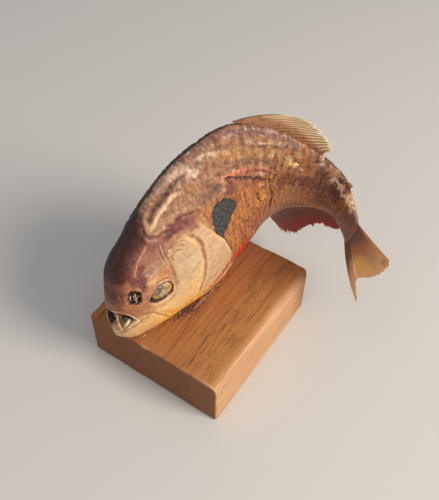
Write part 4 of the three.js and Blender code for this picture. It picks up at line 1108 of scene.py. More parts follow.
    # the floor of the mouth is pale, and its other walls are painted dark as shade
    gape = ramp(inside(s_plain, h_plain, GAPE), 0.1, 0.9) * ramp(s_plain, 0.06, 0.05)
    floor = ramp(h_plain + 0.5 * (s_plain - 0.01), -0.014, -0.026)
    colour = laid(colour, ((40, 27, 20), gape), ((246, 186, 138), gape * floor))
    calm = np.maximum.reduce([ramp(cheek, -0.5, 1.2), on_cover, ramp(h, 0.0, -0.03)])
    fleck = 1 - 0.75 * on_mark - 0.45 * head * calm - 0.4 * head
    fleck = fleck - 0.5 * (1 - head) * ramp(s, 0.6, 0.7)
    fibrous = (1 - on_mark) * (1 - head) * ramp(s, 0.30, 0.36)
    fibrous = fibrous * (1 - 0.35 * ramp(s, 0.62, 0.7)) * (1 - 0.4 * ramp(h, 0.12, 0.17))
    return np.clip(colour, 0.002, 1), np.clip(fleck, 0, 1), fibrous


FINE_LINES = {
    "pale_lines": (BROW, CHEEK_CREASE, CHEEK_ARCS[0], LOBE_RIM),
    "dark_lines": (LID_LINE, COVER_LINE[:6]),
    "veins": FACE_VEINS,
}
# colour and strength
LINE_LOOKS = {
    "pale_lines": ((0.64, 0.38, 0.22), 0.6),
    "dark_lines": ((0.17, 0.075, 0.03), 0.5),
    "veins": ((0.36, 0.17, 0.075), 0.55),
}
OUTLINES = {"eye_hole": EYE_RIM, "nostril": NOSTRIL_RIM, "mark_in": MARK}


def drawn(s, h):
    """Distances to the lines that are too fine for the skin's own points."""
    found = {name: inside(s, h, points) for name, points in OUTLINES.items()}
    for name, group in FINE_LINES.items():
        found[name] = np.min([np.abs(beside(s, h, points)) for points in group], axis=0)
    return {name: np.clip(gap, -9, 9) for name, gap in found.items()}


def varnished_skin(name, lined):
    """Dried skin under thin varnish: the painted colours, broken up by flecks, fibres and pores."""
    look = Finish(name, IOR=1.46, Coat_Roughness=0.28)
    place, uv = look.place, look.uv
    tint = look.lines("tint", "Color")
    fleck, hollow, fibrous = (look.lines(value) for value in ("fleck", "hollow", "fibrous"))
    fibre = uv.stretched((150, 26, 1), (0, 0, 0.12)).cloud(1.0, 4.0, 0.65, 0.6)
    strands = uv.stretched((64, 300, 1), (0, 0, 0.45)).cloud(1.0, 4.0, 0.6, 0.8)
    coarse = place.cloud(420, 4.0, 0.62)
    grain = place.cloud(1500, 3.0, 0.6)
    blotch = place.cloud(150, 3.0, 0.6)
    pits = place.cells(1250).rise(0.30, 0.12)
    waver = (place.cloud(1100, 3.0, 0.6) - 0.5) * 1.3
    even = 1 - fibrous
    body = tint.over(
        (fleck * (1 - coarse.rise(0.30, 0.72)) * 0.45, (0.56, 0.40, 0.30), "MULTIPLY"),
        (fleck * blotch.rise(0.54, 0.70) * 0.35, (0.55, 0.36, 0.28), "MULTIPLY"),
        (fleck * grain.rise(0.56, 0.74) * 0.6, (1.6, 1.5, 1.4), "MULTIPLY"),
        (fibrous * fibre.rise(0.50, 0.62) * 0.7, (0.46, 0.29, 0.20), "MULTIPLY"),
        (fibrous * fibre.rise(0.46, 0.36) * 0.75, (1.5, 1.42, 1.3), "MULTIPLY"),
        (even * strands.rise(0.52, 0.66) * 0.32, (0.60, 0.44, 0.34), "MULTIPLY"),
        (even * strands.rise(0.46, 0.34) * 0.30, (1.25, 1.2, 1.1), "MULTIPLY"),
        (pits * fleck * 0.15, (0.10, 0.045, 0.03)),
        # painted shade in the deep grooves
        (hollow * 0.45, (0.30, 0.16, 0.11), "MULTIPLY"),
    )
    if lined:
        for line, (shade, strength) in LINE_LOOKS.items():
            near = (look.lines(line) + waver * 0.45).rise(0.34, 0.06)
            body = body.over((near * coarse.rise(0.35, 0.55) * strength, shade))
        body = body.over(
            # painted shade: the skin inside the eye socket and the nostril is painted near black
            ((look.lines("eye_hole") + waver * 0.4).rise(-0.12, 0.08), (0.085, 0.038, 0.018)),
            ((look.lines("nostril") + waver * 1.3).rise(-0.05, 0.15), (0.03, 0.011, 0.006)),
        )
    # the slate mark, brushed over with paler strokes that are partly painted highlights, and darker at its
    # rim
    brush = uv.stretched((330, 170, 1), (0, 0, 0.9)).cloud(1.0, 2.0, 0.5)
    mark_in = look.lines("mark_in") + waver * 0.7
    mark = mark_in.rise(-0.1, 0.12)
    rim = mark_in.rise(0.9, 0.2)
    body = body.over(
        (mark, (0.022, 0.021, 0.025)),
        (mark * brush.rise(0.53, 0.62) * (1 - rim) * 0.85, (0.15, 0.147, 0.155)),
        (mark * brush.rise(0.46, 0.38) * 0.7, (0.010, 0.009, 0.010)),
        (mark * rim * 0.7, (0.014, 0.010, 0.009)),
    )
    look.feed("Base Color", body)
    look.feed("Roughness", 0.42 + coarse * 0.12 + fleck * 0.06 + hollow * 0.18 + mark * 0.05)
    light = tint.node("RGBToBW", None, {0: tint})
    look.feed("Coat Weight", light.rise(0.01, 0.16) * 0.38 + 0.08 - hollow * 0.2)
    height = (coarse * 0.8 + grain * 0.45 - pits * 0.5) * (fleck * 0.7 + 0.3)
    height = height + fibre * fibrous * 0.5 + mark * brush * 1.6 + strands * even * 0.5
    look.bump(height, 0.55 if lined else 0.4, 0.00022)
    return look.material


def grid(across, along):
    """A sheet of quads; the number of each point's column and row go with it."""
    bm = bmesh.new()
    bmesh.ops.create_grid(bm, x_segments=across, y_segments=along, size=0.5)
    where = np.array([v.co for v in bm.verts])
    column = np.rint((where[:, 0] + 0.5) * across).astype(int)
    row = np.rint((where[:, 1] + 0.5) * along).astype(int)
    return bm, column, row


def kept(bm, values):
    """Writes values on the points of a mesh that is still being worked."""
    bm.verts.ensure_lookup_table()
    for name, row in values.items():
        layer = bm.verts.layers.float.new(name)
        for vert, value in zip(bm.verts, row):
            vert[layer] = value


def blurred(rows, along, around):
    """Means over a window of the skin's grid, which is closed round the body."""
    ring = rows[:, :-1]
    ring = sum(np.roll(ring, k, axis=1) for k in range(-around, around + 1)) / (2 * around + 1)
    long = np.pad(ring, ((along, along), (0, 0)), mode="edge")
    ring = sum(long[k:k + len(rows)] for k in range(2 * along + 1)) / (2 * along + 1)
    return np.column_stack([ring, ring[:, 0]])


SKIN_RUN = skin_s.shape[0] - 1
bm, row, column = grid(SKIN_RUN, SKIN_AROUND)
unwrap = bm.loops.layers.uv.new("OFBake")
bm.verts.ensure_lookup_table()
skin_v = np.concatenate([np.linspace(0, 0.5, SKIN_RIGHT + 1), np.linspace(0.5, 1, SKIN_LEFT + 1)[1:]])
skin_uv = np.stack([(skin_s + 0.035) / 1.05, np.broadcast_to(skin_v, skin_s.shape)], axis=-1)
for face in bm.faces:
    for loop in face.loops:
        loop[unwrap].uv = skin_uv[row[loop.vert.index], column[loop.vert.index]]
moved(bm, lambda here: skin_place[row, column])
slump = skin_rise * (1 - skin_gape)
# the deep grooves, which the skin's finish darkens as painted shade
deep = ramp(slump, -0.55, -1.3)
# how far the skin lies below its surroundings, which paints shade into its valleys and light onto its
# crests
skin_cavity = slump - blurred(slump, 4, 3)
planes = {"s": skin_s, "h": skin_h, "w": skin_w, "hollow": deep, "cavity": skin_cavity}
kept(bm, {name: plane[row, column] for name, plane in planes.items()})
bmesh.ops.remove_doubles(bm, verts=bm.verts, dist=1e-6)
bmesh.ops.recalc_face_normals(bm, faces=bm.faces)
skin = finished("skin", bm, varnished_skin("varnished_skin", True), [
    "head", "lower_jaw", "gill_cover_left", "gill_cover_right", "trunk_front", "trunk_middle",
    "trunk_rear", "tail_stalk",
])
skin_lines = {}
for name in ("s", "h", "w", "cavity"):
    line = np.zeros(len(skin.data.vertices), dtype=np.float32)
    skin.data.attributes[name].data.foreach_get("value", line)
    skin.data.attributes.remove(skin.data.attributes[name])
    skin_lines[name] = line.astype(float)
s, h, w, cavity = skin_lines.values()
colour, fleck, fibrous = markings(s, h, w, set_at(s, h, w), cavity)
looks = {"tint": colour, "fleck": fleck, "fibrous": fibrous, **drawn(s, h)}
for name, values in looks.items():
    painted(skin.data, name, values)

# ------------------------------------------------------------------ the scales
# Small thin scales, about a millimetre across, in staggered rows like roof tiles. Their roots are
# sunk in the skin and their free ends point to the tail. The head and the gill covers have none.

SCALE_PITCH = (0.66, 0.56)  # along and across, in millimetres
SCALE_LONG = 0.9
SCALE_WIDE = 0.66
SCALE_LIFT = 0.045
SCALE_SUNK = 0.12
SCALE_CURVE = 0.05
SCALE_THICK = 0.05
SCALES_LOST = 0.3
SCALES_FRONT = 0.53  # each side has a front and a rear piece, which meet here
SCALES_START = 0.225
SCALES_END = 0.972
SCALE_PATCH = 0.003
LOBE_SCALES = [*NAPE_EDGE, (42, 13), (46, 26), (36, 30), (27, 26)]


def on_skin(row, column, rows=skin_place):
    """Values of the skin's own grid between its points."""
    i = np.clip(row, 0, SKIN_RUN - 0.001).astype(int)
    column = np.mod(column, SKIN_AROUND)
    j = column.astype(int)
    t = np.clip(row, 0, SKIN_RUN - 0.001) - i
    u = column - j
    extra = (slice(None),) * t.ndim + (None,) * (rows.ndim - 2)
    t, u = t[extra], u[extra]
    upper = rows[i, j] * (1 - u) + rows[i, j + 1] * u
    lower = rows[i + 1, j] * (1 - u) + rows[i + 1, j + 1] * u
    return upper * (1 - t) + lower * t


def thickened(bm):
    """Doubles a flat sheet into two faces, at z 0 and at z 1, with walls between them."""
    sides = bmesh.ops.extrude_face_region(bm, geom=bm.faces[:], use_keep_orig=True)["geom"]
    bmesh.ops.translate(bm, verts=[v for v in sides if isinstance(v, bmesh.types.BMVert)], vec=(0, 0, 1))


def one_scale():
    """A thin closed plate: along -0.5 (root) to 0.5, across -0.5 to 0.5, and its two faces 0 and 1."""
    bm = bmesh.new()
    bmesh.ops.create_grid(bm, x_segments=2, y_segments=2, size=0.5)
    thickened(bm)
    bmesh.ops.recalc_face_normals(bm, faces=bm.faces)
    bm.verts.ensure_lookup_table()
    where = np.array([v.co for v in bm.verts])
    faces = np.array([[v.index for v in face.verts] for face in bm.faces])
    bm.free()
    return where, faces


skin_face_out = outward_of(skin_place)
scale_points, scale_faces = one_scale()
along, across, face = scale_points.T
shape_along = along + 0.16 * (along > 0.4) * (np.abs(across) < 0.1)
shape_across = across * np.where(along > 0.4, 0.62, np.where(along < -0.4, 0.7, 1.0))
shape_up = -SCALE_SUNK + (SCALE_LIFT + SCALE_SUNK) * (along + 0.5)
shape_up = shape_up + SCALE_CURVE * (1 - 4 * across ** 2) - SCALE_THICK * (1 - face)

random = np.random.default_rng(7)
roots = []
for k, s in enumerate(np.arange(SCALES_START, SCALES_END, SCALE_PITCH[0] * MM / LENGTH)):
    row = np.interp(s, skin_s[:, 0], np.arange(SKIN_RUN + 1))
    ring = on_skin(np.full(SKIN_AROUND + 1, row), np.arange(SKIN_AROUND + 1.0))
    run = np.append(0, np.cumsum(np.linalg.norm(np.diff(ring, axis=0), axis=1))) / MM
    count = int(run[-1] / SCALE_PITCH[1])
    spaced = (np.arange(count) + 0.5 * (k % 2)) * run[-1] / count
    turns = np.interp(spaced, run, np.arange(SKIN_AROUND + 1))
    roots.append(np.column_stack([np.full(count, row), turns]))
roots = np.concatenate(roots)
roots += random.normal(0, 0.3, roots.shape)
root_s, root_h, root_w = (on_skin(roots[:, 0], roots[:, 1], plane) for plane in (skin_s, skin_h, skin_w))
kept_roots = inside(root_s, root_h, LOBE_SCALES) > 0.3
kept_roots |= (root_s > 0.36) & (root_h > -0.3)
kept_roots &= inside(root_s, root_h, COVER) < -0.4
kept_roots &= (root_s > 0.36) | (root_h > 0.125)
kept_roots &= off_line(root_s, root_h, RED_LINE)[0] > 1.6
kept_roots &= on_skin(roots[:, 0], roots[:, 1])[:, 2] > BLOCK_TOP + 1.2 * MM
kept_roots &= random.random(len(roots)) > SCALES_LOST
row_step = np.linalg.norm(np.diff(skin_place, axis=0), axis=2) / MM
column_step = np.linalg.norm(np.diff(skin_place, axis=1), axis=2) / MM
scale_finish = varnished_skin("varnished_scales", False)
on_left, in_front = root_w >= 0, root_s < SCALES_FRONT

for side, part in (
    ("left_front", on_left & in_front), ("left_rear", on_left & ~in_front),
    ("right_front", ~on_left & in_front), ("right_rear", ~on_left & ~in_front),
):
    chosen = kept_roots & part
    root = roots[chosen]
    cell = np.clip(root.astype(int), 0, (SKIN_RUN - 1, SKIN_AROUND - 1))
    mm_row = row_step[cell[:, 0], cell[:, 1]].clip(0.15)
    mm_column = column_step[cell[:, 0], cell[:, 1]].clip(0.15)
    size = random.uniform(0.88, 1.1, len(root))
    tilt = random.normal(0, 0.3, len(root))
    cos, sin = np.cos(tilt)[:, None], np.sin(tilt)[:, None]
    a = shape_along * cos * SCALE_LONG - shape_across * sin * SCALE_WIDE
    b = shape_along * sin * SCALE_LONG + shape_across * cos * SCALE_WIDE
    at_row = root[:, :1] + a * (size / mm_row)[:, None]
    at_column = root[:, 1:] + b * (size / mm_column)[:, None]
    out = on_skin(root[:, 0], root[:, 1], skin_face_out)
    lift = shape_up * random.uniform(0.75, 1.15, len(root))[:, None]
    place = on_skin(at_row, at_column) + out[:, None, :] * (lift * MM)[:, :, None]
    place = place.reshape(-1, 3)
    faces = (scale_faces[None] + (np.arange(len(root)) * len(scale_points))[:, None, None]).reshape(-1, 4)
    mesh = bpy.data.meshes.new("scales_" + side)
    mesh.from_pydata(place.tolist(), [], faces.tolist())
    bm = bmesh.new()
    bm.from_mesh(mesh)
    scales = finished("scales_" + side, bm, scale_finish, smooth=True)
    centre = on_skin(root[:, 0], root[:, 1], skin_uv)
    patch = np.stack([shape_along, shape_across], axis=1) * SCALE_PATCH
    corner_uv = (centre[:, None] + patch[None]).reshape(-1, 2)
    unwrap = scales.data.uv_layers.new(name="OFBake")
    corners = np.zeros(len(scales.data.loops), dtype=np.int32)
    scales.data.loops.foreach_get("vertex_index", corners)
    unwrap.data.foreach_set("uv", corner_uv[corners].astype(np.float32).ravel())
    s, h, w = root_s[chosen], root_h[chosen], root_w[chosen]
    cavity = on_skin(root[:, 0], root[:, 1], skin_cavity)
    colour, fleck, fibrous = markings(s, h, w, set_at(s, h, w), cavity)
    colour = np.clip(colour * random.uniform(0.92, 1.08, len(s))[:, None], 0.002, 1)
    for name, values in (
        ("tint", colour), ("fleck", fleck), ("fibrous", fibrous), ("mark_in", inside(s, h, MARK)),
        ("hollow", on_skin(root[:, 0], root[:, 1], deep)),
    ):
        painted(scales.data, name, np.repeat(values, len(scale_points), axis=0))

# ------------------------------------------------------------------ the eyes
# Each eyeball dried in its socket and sank: a wrinkled amber bag with a clouded lens near its front,
# smaller than the hole it lies in.

EYE_AT = (0.1505, -0.0112, 0.0620)
EYE_SIZE = (0.0395, 0.0243, 0.0135)
EYE_TILT = -0.17
LENS_AT = (-0.0105, 0.0120)


def eye_finish():
    look = Finish("dried_eyeball", IOR=1.5, Coat_Roughness=0.22)
    place = look.place
    veil = place.cloud(460, 4.0, 0.65, 1.0)
    wisps = place.cloud(900, 3.0, 0.6, 2.0)
    body = look.lines("tint", "Color").over(
        (veil.rise(0.54, 0.62) * 0.5, (0.62, 0.47, 0.27)),
        (veil.rise(0.46, 0.38) * 0.75, (0.15, 0.085, 0.03)),
        (wisps.rise(0.57, 0.64) * 0.85, (0.06, 0.032, 0.018)),
        (wisps.rise(0.38, 0.33) * 0.6, (0.66, 0.52, 0.34)),
    )
    look.feed("Base Color", body)
    look.feed("Roughness", 0.36 + veil * 0.3)
    look.feed("Coat Weight", 0.25 + veil * 0.15)
    look.bump(veil + wisps * 0.6, 0.7, 0.0005)
    return look.material


eyeball = eye_finish()
for side, sign in (("left", 1), ("right", -1)):
    bm = bmesh.new()
    bmesh.ops.create_uvsphere(bm, u_segments=56, v_segments=36, radius=1)
    ball = np.array([v.co for v in bm.verts])
    lens = np.hypot(ball[:, 0] - LENS_AT[0] / EYE_SIZE[0], ball[:, 1] - LENS_AT[1] / EYE_SIZE[1])
    folds = fuzz(ball, 0.45, 3, 3.0 + sign)
    hollow, collar = np.exp(-(lens / 0.5) ** 2), np.exp(-((lens - 0.34) / 0.12) ** 2)
    sunk = 1 - 0.16 * hollow + 0.07 * collar + 0.16 * folds
    x, y = ball[:, 0] * EYE_SIZE[0], ball[:, 1] * EYE_SIZE[1]
    s = EYE_AT[0] + x * math.cos(EYE_TILT) - y * math.sin(EYE_TILT)
    h = EYE_AT[1] + x * math.sin(EYE_TILT) + y * math.cos(EYE_TILT)
    w = sign * (EYE_AT[2] + ball[:, 2] * EYE_SIZE[2] * sunk)
    moved(bm, lambda here: set_at(s, h, w))
    bmesh.ops.recalc_face_normals(bm, faces=bm.faces)
    eye = finished("eyeball_" + side, bm, eyeball, ["eye_" + side])
    rim = np.hypot(ball[:, 0], ball[:, 1])
    gold = np.hypot(ball[:, 0] - 0.5, ball[:, 1] - 0.05)
    cream = np.hypot(ball[:, 0] + 0.12, ball[:, 1] - 0.05)
    tint = laid(
        np.tile(dye(170, 140, 96), (len(ball), 1)),
        ((210, 152, 58), ramp(gold + 0.3 * folds, 0.62, 0.25)),
        ((176, 138, 54), ramp(ball[:, 0] + 0.4 * folds, -0.45, -0.7)),
        # painted highlight: the pale cream patch on the eyeball
        ((214, 190, 156), ramp(cream + 0.4 * folds, 0.34, 0.14) * 0.9),
        ((104, 80, 56), ramp(np.abs(lens + 0.3 * folds - 0.50), 0.12, 0.04) * 0.7),
        ((44, 37, 34), ramp(lens + 0.5 * folds, 0.40, 0.20)),
        ((96, 62, 32), ramp(rim + 0.1 * folds, 0.82, 0.98)),
    )
    painted(eye.data, "tint", tint)

# ------------------------------------------------------------------ mouth and nostrils
# The lips have shrunk from a row of small blade teeth. A strip of gum stands across the gape, and
# dry flaps hang in the nostrils.


def tube(line, radii, flat=1.0, around=10, flat_way=(0.3, 0.2, 0.93)):
    """A closed rod along a line of places, thick as its radii in millimetres, and flattened one way."""
    count = len(line)
    bm, row, column = grid(around, count + 1)
    run = np.gradient(line, axis=0)
    run /= np.linalg.norm(run, axis=1)[:, None]
    aside = np.cross(run, np.array(flat_way))
    aside /= np.linalg.norm(aside, axis=1)[:, None]
    third = np.cross(run, aside)
    at = np.clip(column - 1, 0, count - 1)
    radius = np.array(radii, dtype=float)[at] * MM * (column > 0) * (column <= count)
    turn = row * math.tau / around
    side = np.cos(turn)[:, None] * aside[at] + flat * np.sin(turn)[:, None] * third[at]
    moved(bm, lambda here: line[at] + side * radius[:, None])
    bmesh.ops.remove_doubles(bm, verts=bm.verts, dist=1e-7)
    bmesh.ops.recalc_face_normals(bm, faces=bm.faces)
    return bm


def rod(points, radii, flat=1.0, around=10):
    """A tube along points s, h, w."""
    return tube(set_at(*np.array(points, dtype=float).T), radii, flat, around)


def joined(parts):
    """One bmesh of them all; each part carries its number."""
    whole = bmesh.new()
    number = whole.verts.layers.float.new("part")
    for k, part in enumerate(parts):
        mesh = bpy.data.meshes.new("part")
        part.to_mesh(mesh)
        part.free()
        before = len(whole.verts)
        whole.from_mesh(mesh)
        whole.verts.ensure_lookup_table()
        for vert in whole.verts[before:]:
            vert[number] = k
        bpy.data.meshes.remove(mesh)
    return whole


def horn(name, pale, dark, scale, rough=0.35):
    """Gum, tooth or fin ray: a pale dry stuff with darker stains."""
    look = Finish(name, IOR=1.5, Coat_Roughness=0.2)
    stain = look.place.cloud(scale, 3.0, 0.6)
    fine = look.place.cloud(scale * 4, 2.0)
    body = stain.rise(0.42, 0.68).mix(pale, dark).over((fine.rise(0.55, 0.75) * 0.4, dark, "MULTIPLY"))
    look.feed("Base Color", body)
    look.feed("Roughness", rough + stain * 0.3)
    look.bump(stain + fine * 0.5, 0.4, 0.00015)
    return look.material


SHEET_THICK = 0.34 * MM
RAY_POINTS = 6
TEETH_IN_A_ROW = 6
TOOTH_TAPER = np.array([1, 0.98, 0.85, 0.62, 0.34, 0.06])
NO_BEND = [(0, 0, 0, 0), (1, 0, 0, 0)]


def tooth(root, tip, w, wide):
    root, tip = np.array([*root, w]), np.array([*tip, w])
    t = np.linspace(0, 1, len(TOOTH_TAPER))[:, None]
    return rod(root + (tip - root) * t, wide * TOOTH_TAPER, 0.5, 8)


teeth = []
for sign in (1, -1):
    for t in (np.arange(TEETH_IN_A_ROW) + 0.5) / TEETH_IN_A_ROW:
        s = -0.021 + 0.045 * t
        rim = 0.010 + 0.7 * (s + 0.024)
        teeth.append(tooth((s, -0.052), (s + 0.001, -0.0405), sign * rim, 0.55 - 0.15 * t))
    for t in (np.arange(TEETH_IN_A_ROW) + 0.5) / TEETH_IN_A_ROW:
        s = 0.004 + 0.026 * t
        top = 0.036 - 1.15 * (s - 0.002) - 0.1 * t
        rim = 0.014 + 0.95 * s
        teeth.append(tooth((s, top), (s - 0.001, top - 0.011), sign * rim, 0.42 - 0.1 * t))
fang = [
    (-0.003, -0.03, 0.037), (0.005, -0.027, 0.0375), (0.014, -0.0245, 0.038), (0.022, -0.0225, 0.038),
    (0.029, -0.021, 0.037),
]
teeth.append(rod(fang, [0.4, 0.7, 0.74, 0.56, 0.14], 0.8, 12))
bone = horn("old_ivory", dye(232, 214, 166), dye(176, 138, 90), 500, 0.3)
finished("teeth", joined(teeth), bone)


def sheet(bases, tips, middles, rays, along=22, notch=0.10, ragged=0.06, seed=1, ray_thick=0.55,
          ripple=0.0):
    """One closed sheet with raised rays: bases and tips are rows u, s, h, w; middles bend the rays."""
    chance = np.random.default_rng(seed)
    bm = bmesh.new()
    bmesh.ops.create_grid(bm, x_segments=rays * RAY_POINTS, y_segments=along, size=0.5)
    thickened(bm)
    x, y, z = np.array([v.co for v in bm.verts]).T
    u, v = x + 0.5, y + 0.5
    base, tip, middle = (fair(rows, u) for rows in (bases, tips, middles))
    crest = (0.5 + 0.5 * np.cos(u * rays * math.tau)) ** 2
    gap = np.minimum((u * rays + 0.5).astype(int), rays)
    tear = chance.random(rays + 1) ** 2
    reach = 1 - notch * (1 - crest) * (0.4 + 1.2 * tear[gap]) - ragged * chance.random(rays + 1)[gap]
    out = v * reach
    bend = 2 * out * (1 - out)
    s, h, w = (base * (1 - out)[:, None] + tip * out[:, None] + middle * bend[:, None]).T
    half = SHEET_THICK * (0.22 + ray_thick * crest * (1 - 0.55 * out)) * (1 - 0.35 * out)
    wave = ripple * np.sin(u * rays * math.tau / 2) * out + 0.3 * ripple * np.sin(9 * out + 7 * u)
    moved(bm, lambda here: set_at(s, h, w + (z * 2 - 1) * half / LENGTH + wave))
    bmesh.ops.recalc_face_normals(bm, faces=bm.faces)
    return bm, {"across": u, "out": out, "ray": crest, "s": s, "h": h, "w": w}


gum = [
    (0.0105, 0.0135, 0.022), (0.004, 0.008, 0.022), (0, 0, 0.022), (-0.005, -0.009, 0.022),
    (-0.0095, -0.02, 0.023), (-0.0105, -0.032, 0.024), (-0.007, -0.043, 0.028),
]
jaw_rim = [
    (-0.0195, -0.039, 0.030), (-0.012, -0.041, 0.036), (-0.002, -0.040, 0.042), (0.01, -0.037, 0.048),
    (0.022, -0.034, 0.054), (0.032, -0.032, 0.058),
]
gums = [
    rod(gum, [0.6, 0.8, 0.9, 0.9, 1.0, 1.1, 0.9], 0.6),
    rod(jaw_rim, [0.2, 0.46, 0.5, 0.48, 0.42, 0.2]),
]
flesh = horn("dried_gum", dye(206, 160, 122), dye(140, 90, 66), 600, 0.45)
finished("gums", joined(gums), flesh)

# the tongue has dried black, and the far lip hangs across that side of the gape
tongue = [
    (0.034, -0.03, 0.026), (0.026, -0.022, 0.028), (0.019, -0.0145, 0.030), (0.0135, -0.0125, 0.0305),
    (0.0095, -0.0135, 0.030),
]
far_lip_edge = [
    (0, 0.006, 0.034, -0.02), (0.25, -0.002, 0.014, -0.021), (0.5, -0.0135, -0.002, -0.022),
    (0.75, -0.0215, -0.024, -0.022), (1, -0.0265, -0.054, -0.02),
]
far_lip_root = [(0, 0.02, 0.034, -0.024), (0.5, 0.014, -0.01, -0.028), (1, -0.004, -0.062, -0.026)]
far_lip, _ = sheet(far_lip_root, far_lip_edge, NO_BEND, 5, along=10, notch=0, ragged=0, seed=2,
                   ray_thick=0.3, ripple=0.001)
dark_flesh = horn("black_tongue", dye(84, 60, 62), dye(34, 22, 24), 700, 0.35)
black = [rod(tongue, [0.4, 0.8, 1.3, 1.35, 0.8], 0.9, 14), far_lip]
finished("tongue", joined(black), dark_flesh)
lip_skin = horn("pale_lip", dye(190, 166, 140), dye(120, 92, 74), 500, 0.4)
far_rim = rod(np.array(far_lip_edge)[:, 1:], [0.2, 0.24, 0.24, 0.26, 0.22], 1.0, 8)
finished("far_lip_rim", far_rim, lip_skin)

# the edge of the gill membrane stands as a thin pale cord under the gill cover
THROAT_CORD = [
    (-9.5, 1.3, 22.5), (-7, 0.3, 23.2), (-1, -1.7, 23.9), (5, -2.6, 24.3), (10.5, -2.7, 24.4),
    (16.2, -2.3, 24.4), (19.5, -1.9, 24.4),
]
CORD_STEPS = 7


def cord(points, radii):
    """A tube along a smooth line through points x, y, z in millimetres."""
    points = np.array(points, dtype=float)
    rows = np.column_stack([np.arange(len(points)), points])
    line = fair(rows, np.linspace(0, len(points) - 1, (len(points) - 1) * CORD_STEPS + 1)) * MM
    thick = np.interp(np.linspace(0, 1, len(line)), np.linspace(0, 1, len(radii)), radii)
    return tube(line, thick, flat_way=(0, 0, 1.0))


membrane = horn("throat_membrane", dye(236, 168, 122), dye(196, 116, 76), 300, 0.35)
finished("throat_cord", cord(THROAT_CORD, [0.12, 0.42, 0.5, 0.5, 0.46, 0.4, 0.15]), membrane)

CRESCENT = [
    (0.0705, 0.0575, 0.064), (0.0655, 0.053, 0.0655), (0.063, 0.047, 0.066), (0.0625, 0.041, 0.0655),
]
PARTITION = [
    (0.0845, 0.051, 0.063), (0.0795, 0.0445, 0.066), (0.0765, 0.0375, 0.0665), (0.0725, 0.03, 0.0655),
    (0.0695, 0.023, 0.064),
]
SHREDS = 9
chance = np.random.default_rng(4)
flaps = []
for sign in (1, -1):
    shreds = [(CRESCENT, (0.12, 0.32, 0.34, 0.14)), (PARTITION, (0.2, 0.5, 0.56, 0.45, 0.2))]
    for k in range(SHREDS):
        start = np.array((0.075, 0.041, 0.0655)) + chance.normal(0, 1, 3) * (0.006, 0.009, 0.0006)
        end = start + chance.normal(0, 1, 3) * (0.006, 0.006, 0.0006)
        bend = (start + end) / 2 + chance.normal(0, 0.002, 3) * (1, 1, 0.3)
        shreds.append(([start, bend, end], (0.12, chance.uniform(0.2, 0.36), 0.1)))
    for line, thick in shreds:
        flaps.append(rod(np.array(line) * (1, 1, sign), thick, 0.55, 8))
# a flake of skin hangs from the chin
chin = [(0.008, -0.0995, 0.034), (0.014, -0.1045, 0.036), (0.022, -0.108, 0.037), (0.031, -0.108, 0.038)]
flaps.append(rod(chin, (0.1, 0.3, 0.36, 0.12), 0.5, 8))
dried_membrane = horn("dried_membrane", dye(188, 160, 140), dye(76, 50, 44), 900)
finished("nostril_flaps", joined(flaps), dried_membrane)

# ------------------------------------------------------------------ the fins
# Bony rays with a thin brittle skin between them. The skin has torn back between the tips, so every
# edge is ragged. The dorsal fin is folded down along the back, and the tail has split near its foot.


def fin_finish(name, root, middle, end, ray_colour, dark, ray_share, dots, gaps, first, stains=()):
    """Colours from the root to the tips, with paler rays and dark dried skin between them."""
    look = Finish(name, IOR=1.48, Coat_Roughness=0.3)
    out, ray = look.lines("out"), look.lines("ray")
    place = look.place
    cloud = place.cloud(320, 3.0, 0.6)
    grain = place.cloud(1600, 3.0, 0.6)
    joints = look.uv.stretched((60, 90, 1)).cloud(1.0, 2.0)
    at = out + (cloud - 0.5) * 0.30
    stops = {"stops": [(0.0, root), (0.42, middle), (0.8, end)]}
    body = at.node("ValToRGB", stops, {0: at}).over(
        (ray.rise(0.35, 0.85) * out.rise(first - 0.25, first + 0.1) * ray_share, ray_colour),
        (ray.rise(0.35, 0.05) * out.rise(first, first + 0.3) * gaps * (1.2 - cloud * 0.8), dark),
        (grain.rise(0.55, 0.75) * 0.3, dark, "MULTIPLY"),
        (cloud.rise(0.5, 0.62) * out.rise(0.6, 0.2) * dots, dark),
        (look.lines("edge") * 0.8, dark),
        *((look.lines(stain) * (0.5 + cloud), shade) for stain, shade in stains),
    )
    look.feed("Base Color", body)
    look.feed("Roughness", 0.42 + grain * 0.3)
    look.bump(ray * 0.6 + grain * 0.35 + joints * 0.3, 0.35, 0.0002)
    return look.material


def fin_piece(name, made, finish, nodes, frayed=False, stains=()):
    """Paints a sheet's own lines on it. A frayed fin has a dark first edge."""
    bm, values = made
    edge = ramp(values["across"], 0.035, 0.01) * ramp(values["out"], 0.75, 0.6) * frayed
    kept(bm, {"out": values["out"], "ray": values["ray"], "edge": edge})
    for stain, (u, out, wide, long, strength) in stains:
        reach = np.hypot((values["across"] - u) / wide, (values["out"] - out) / long)
        kept(bm, {stain: ramp(reach, 1.3, 0.3) * strength})
    unwrap = bm.loops.layers.uv.new("OFBake")
    bm.faces.ensure_lookup_table()
    for face in bm.faces:
        for loop in face.loops:
            k = loop.vert.index
            loop[unwrap].uv = (values["across"][k], values["out"][k] * 0.5)
    return finished(name, bm, finish, nodes)


FIN_SUNK = 0.006


def back_line(s, side):
    """The height of the back (side 0) or belly (side 1), with the fin's root a little way inside."""
    return fair(BODY, s)[:, side] + (FIN_SUNK if side else -FIN_SUNK)


def median_rows(start, end, side, tips):
    """The rows of a fin's root between two places on the back or belly, and of its tips."""
    tips = np.array(tips)
    s = start + (end - start) * tips[:, 0]
    return np.column_stack([tips[:, 0], s, back_line(s, side), np.zeros(len(s))]), tips


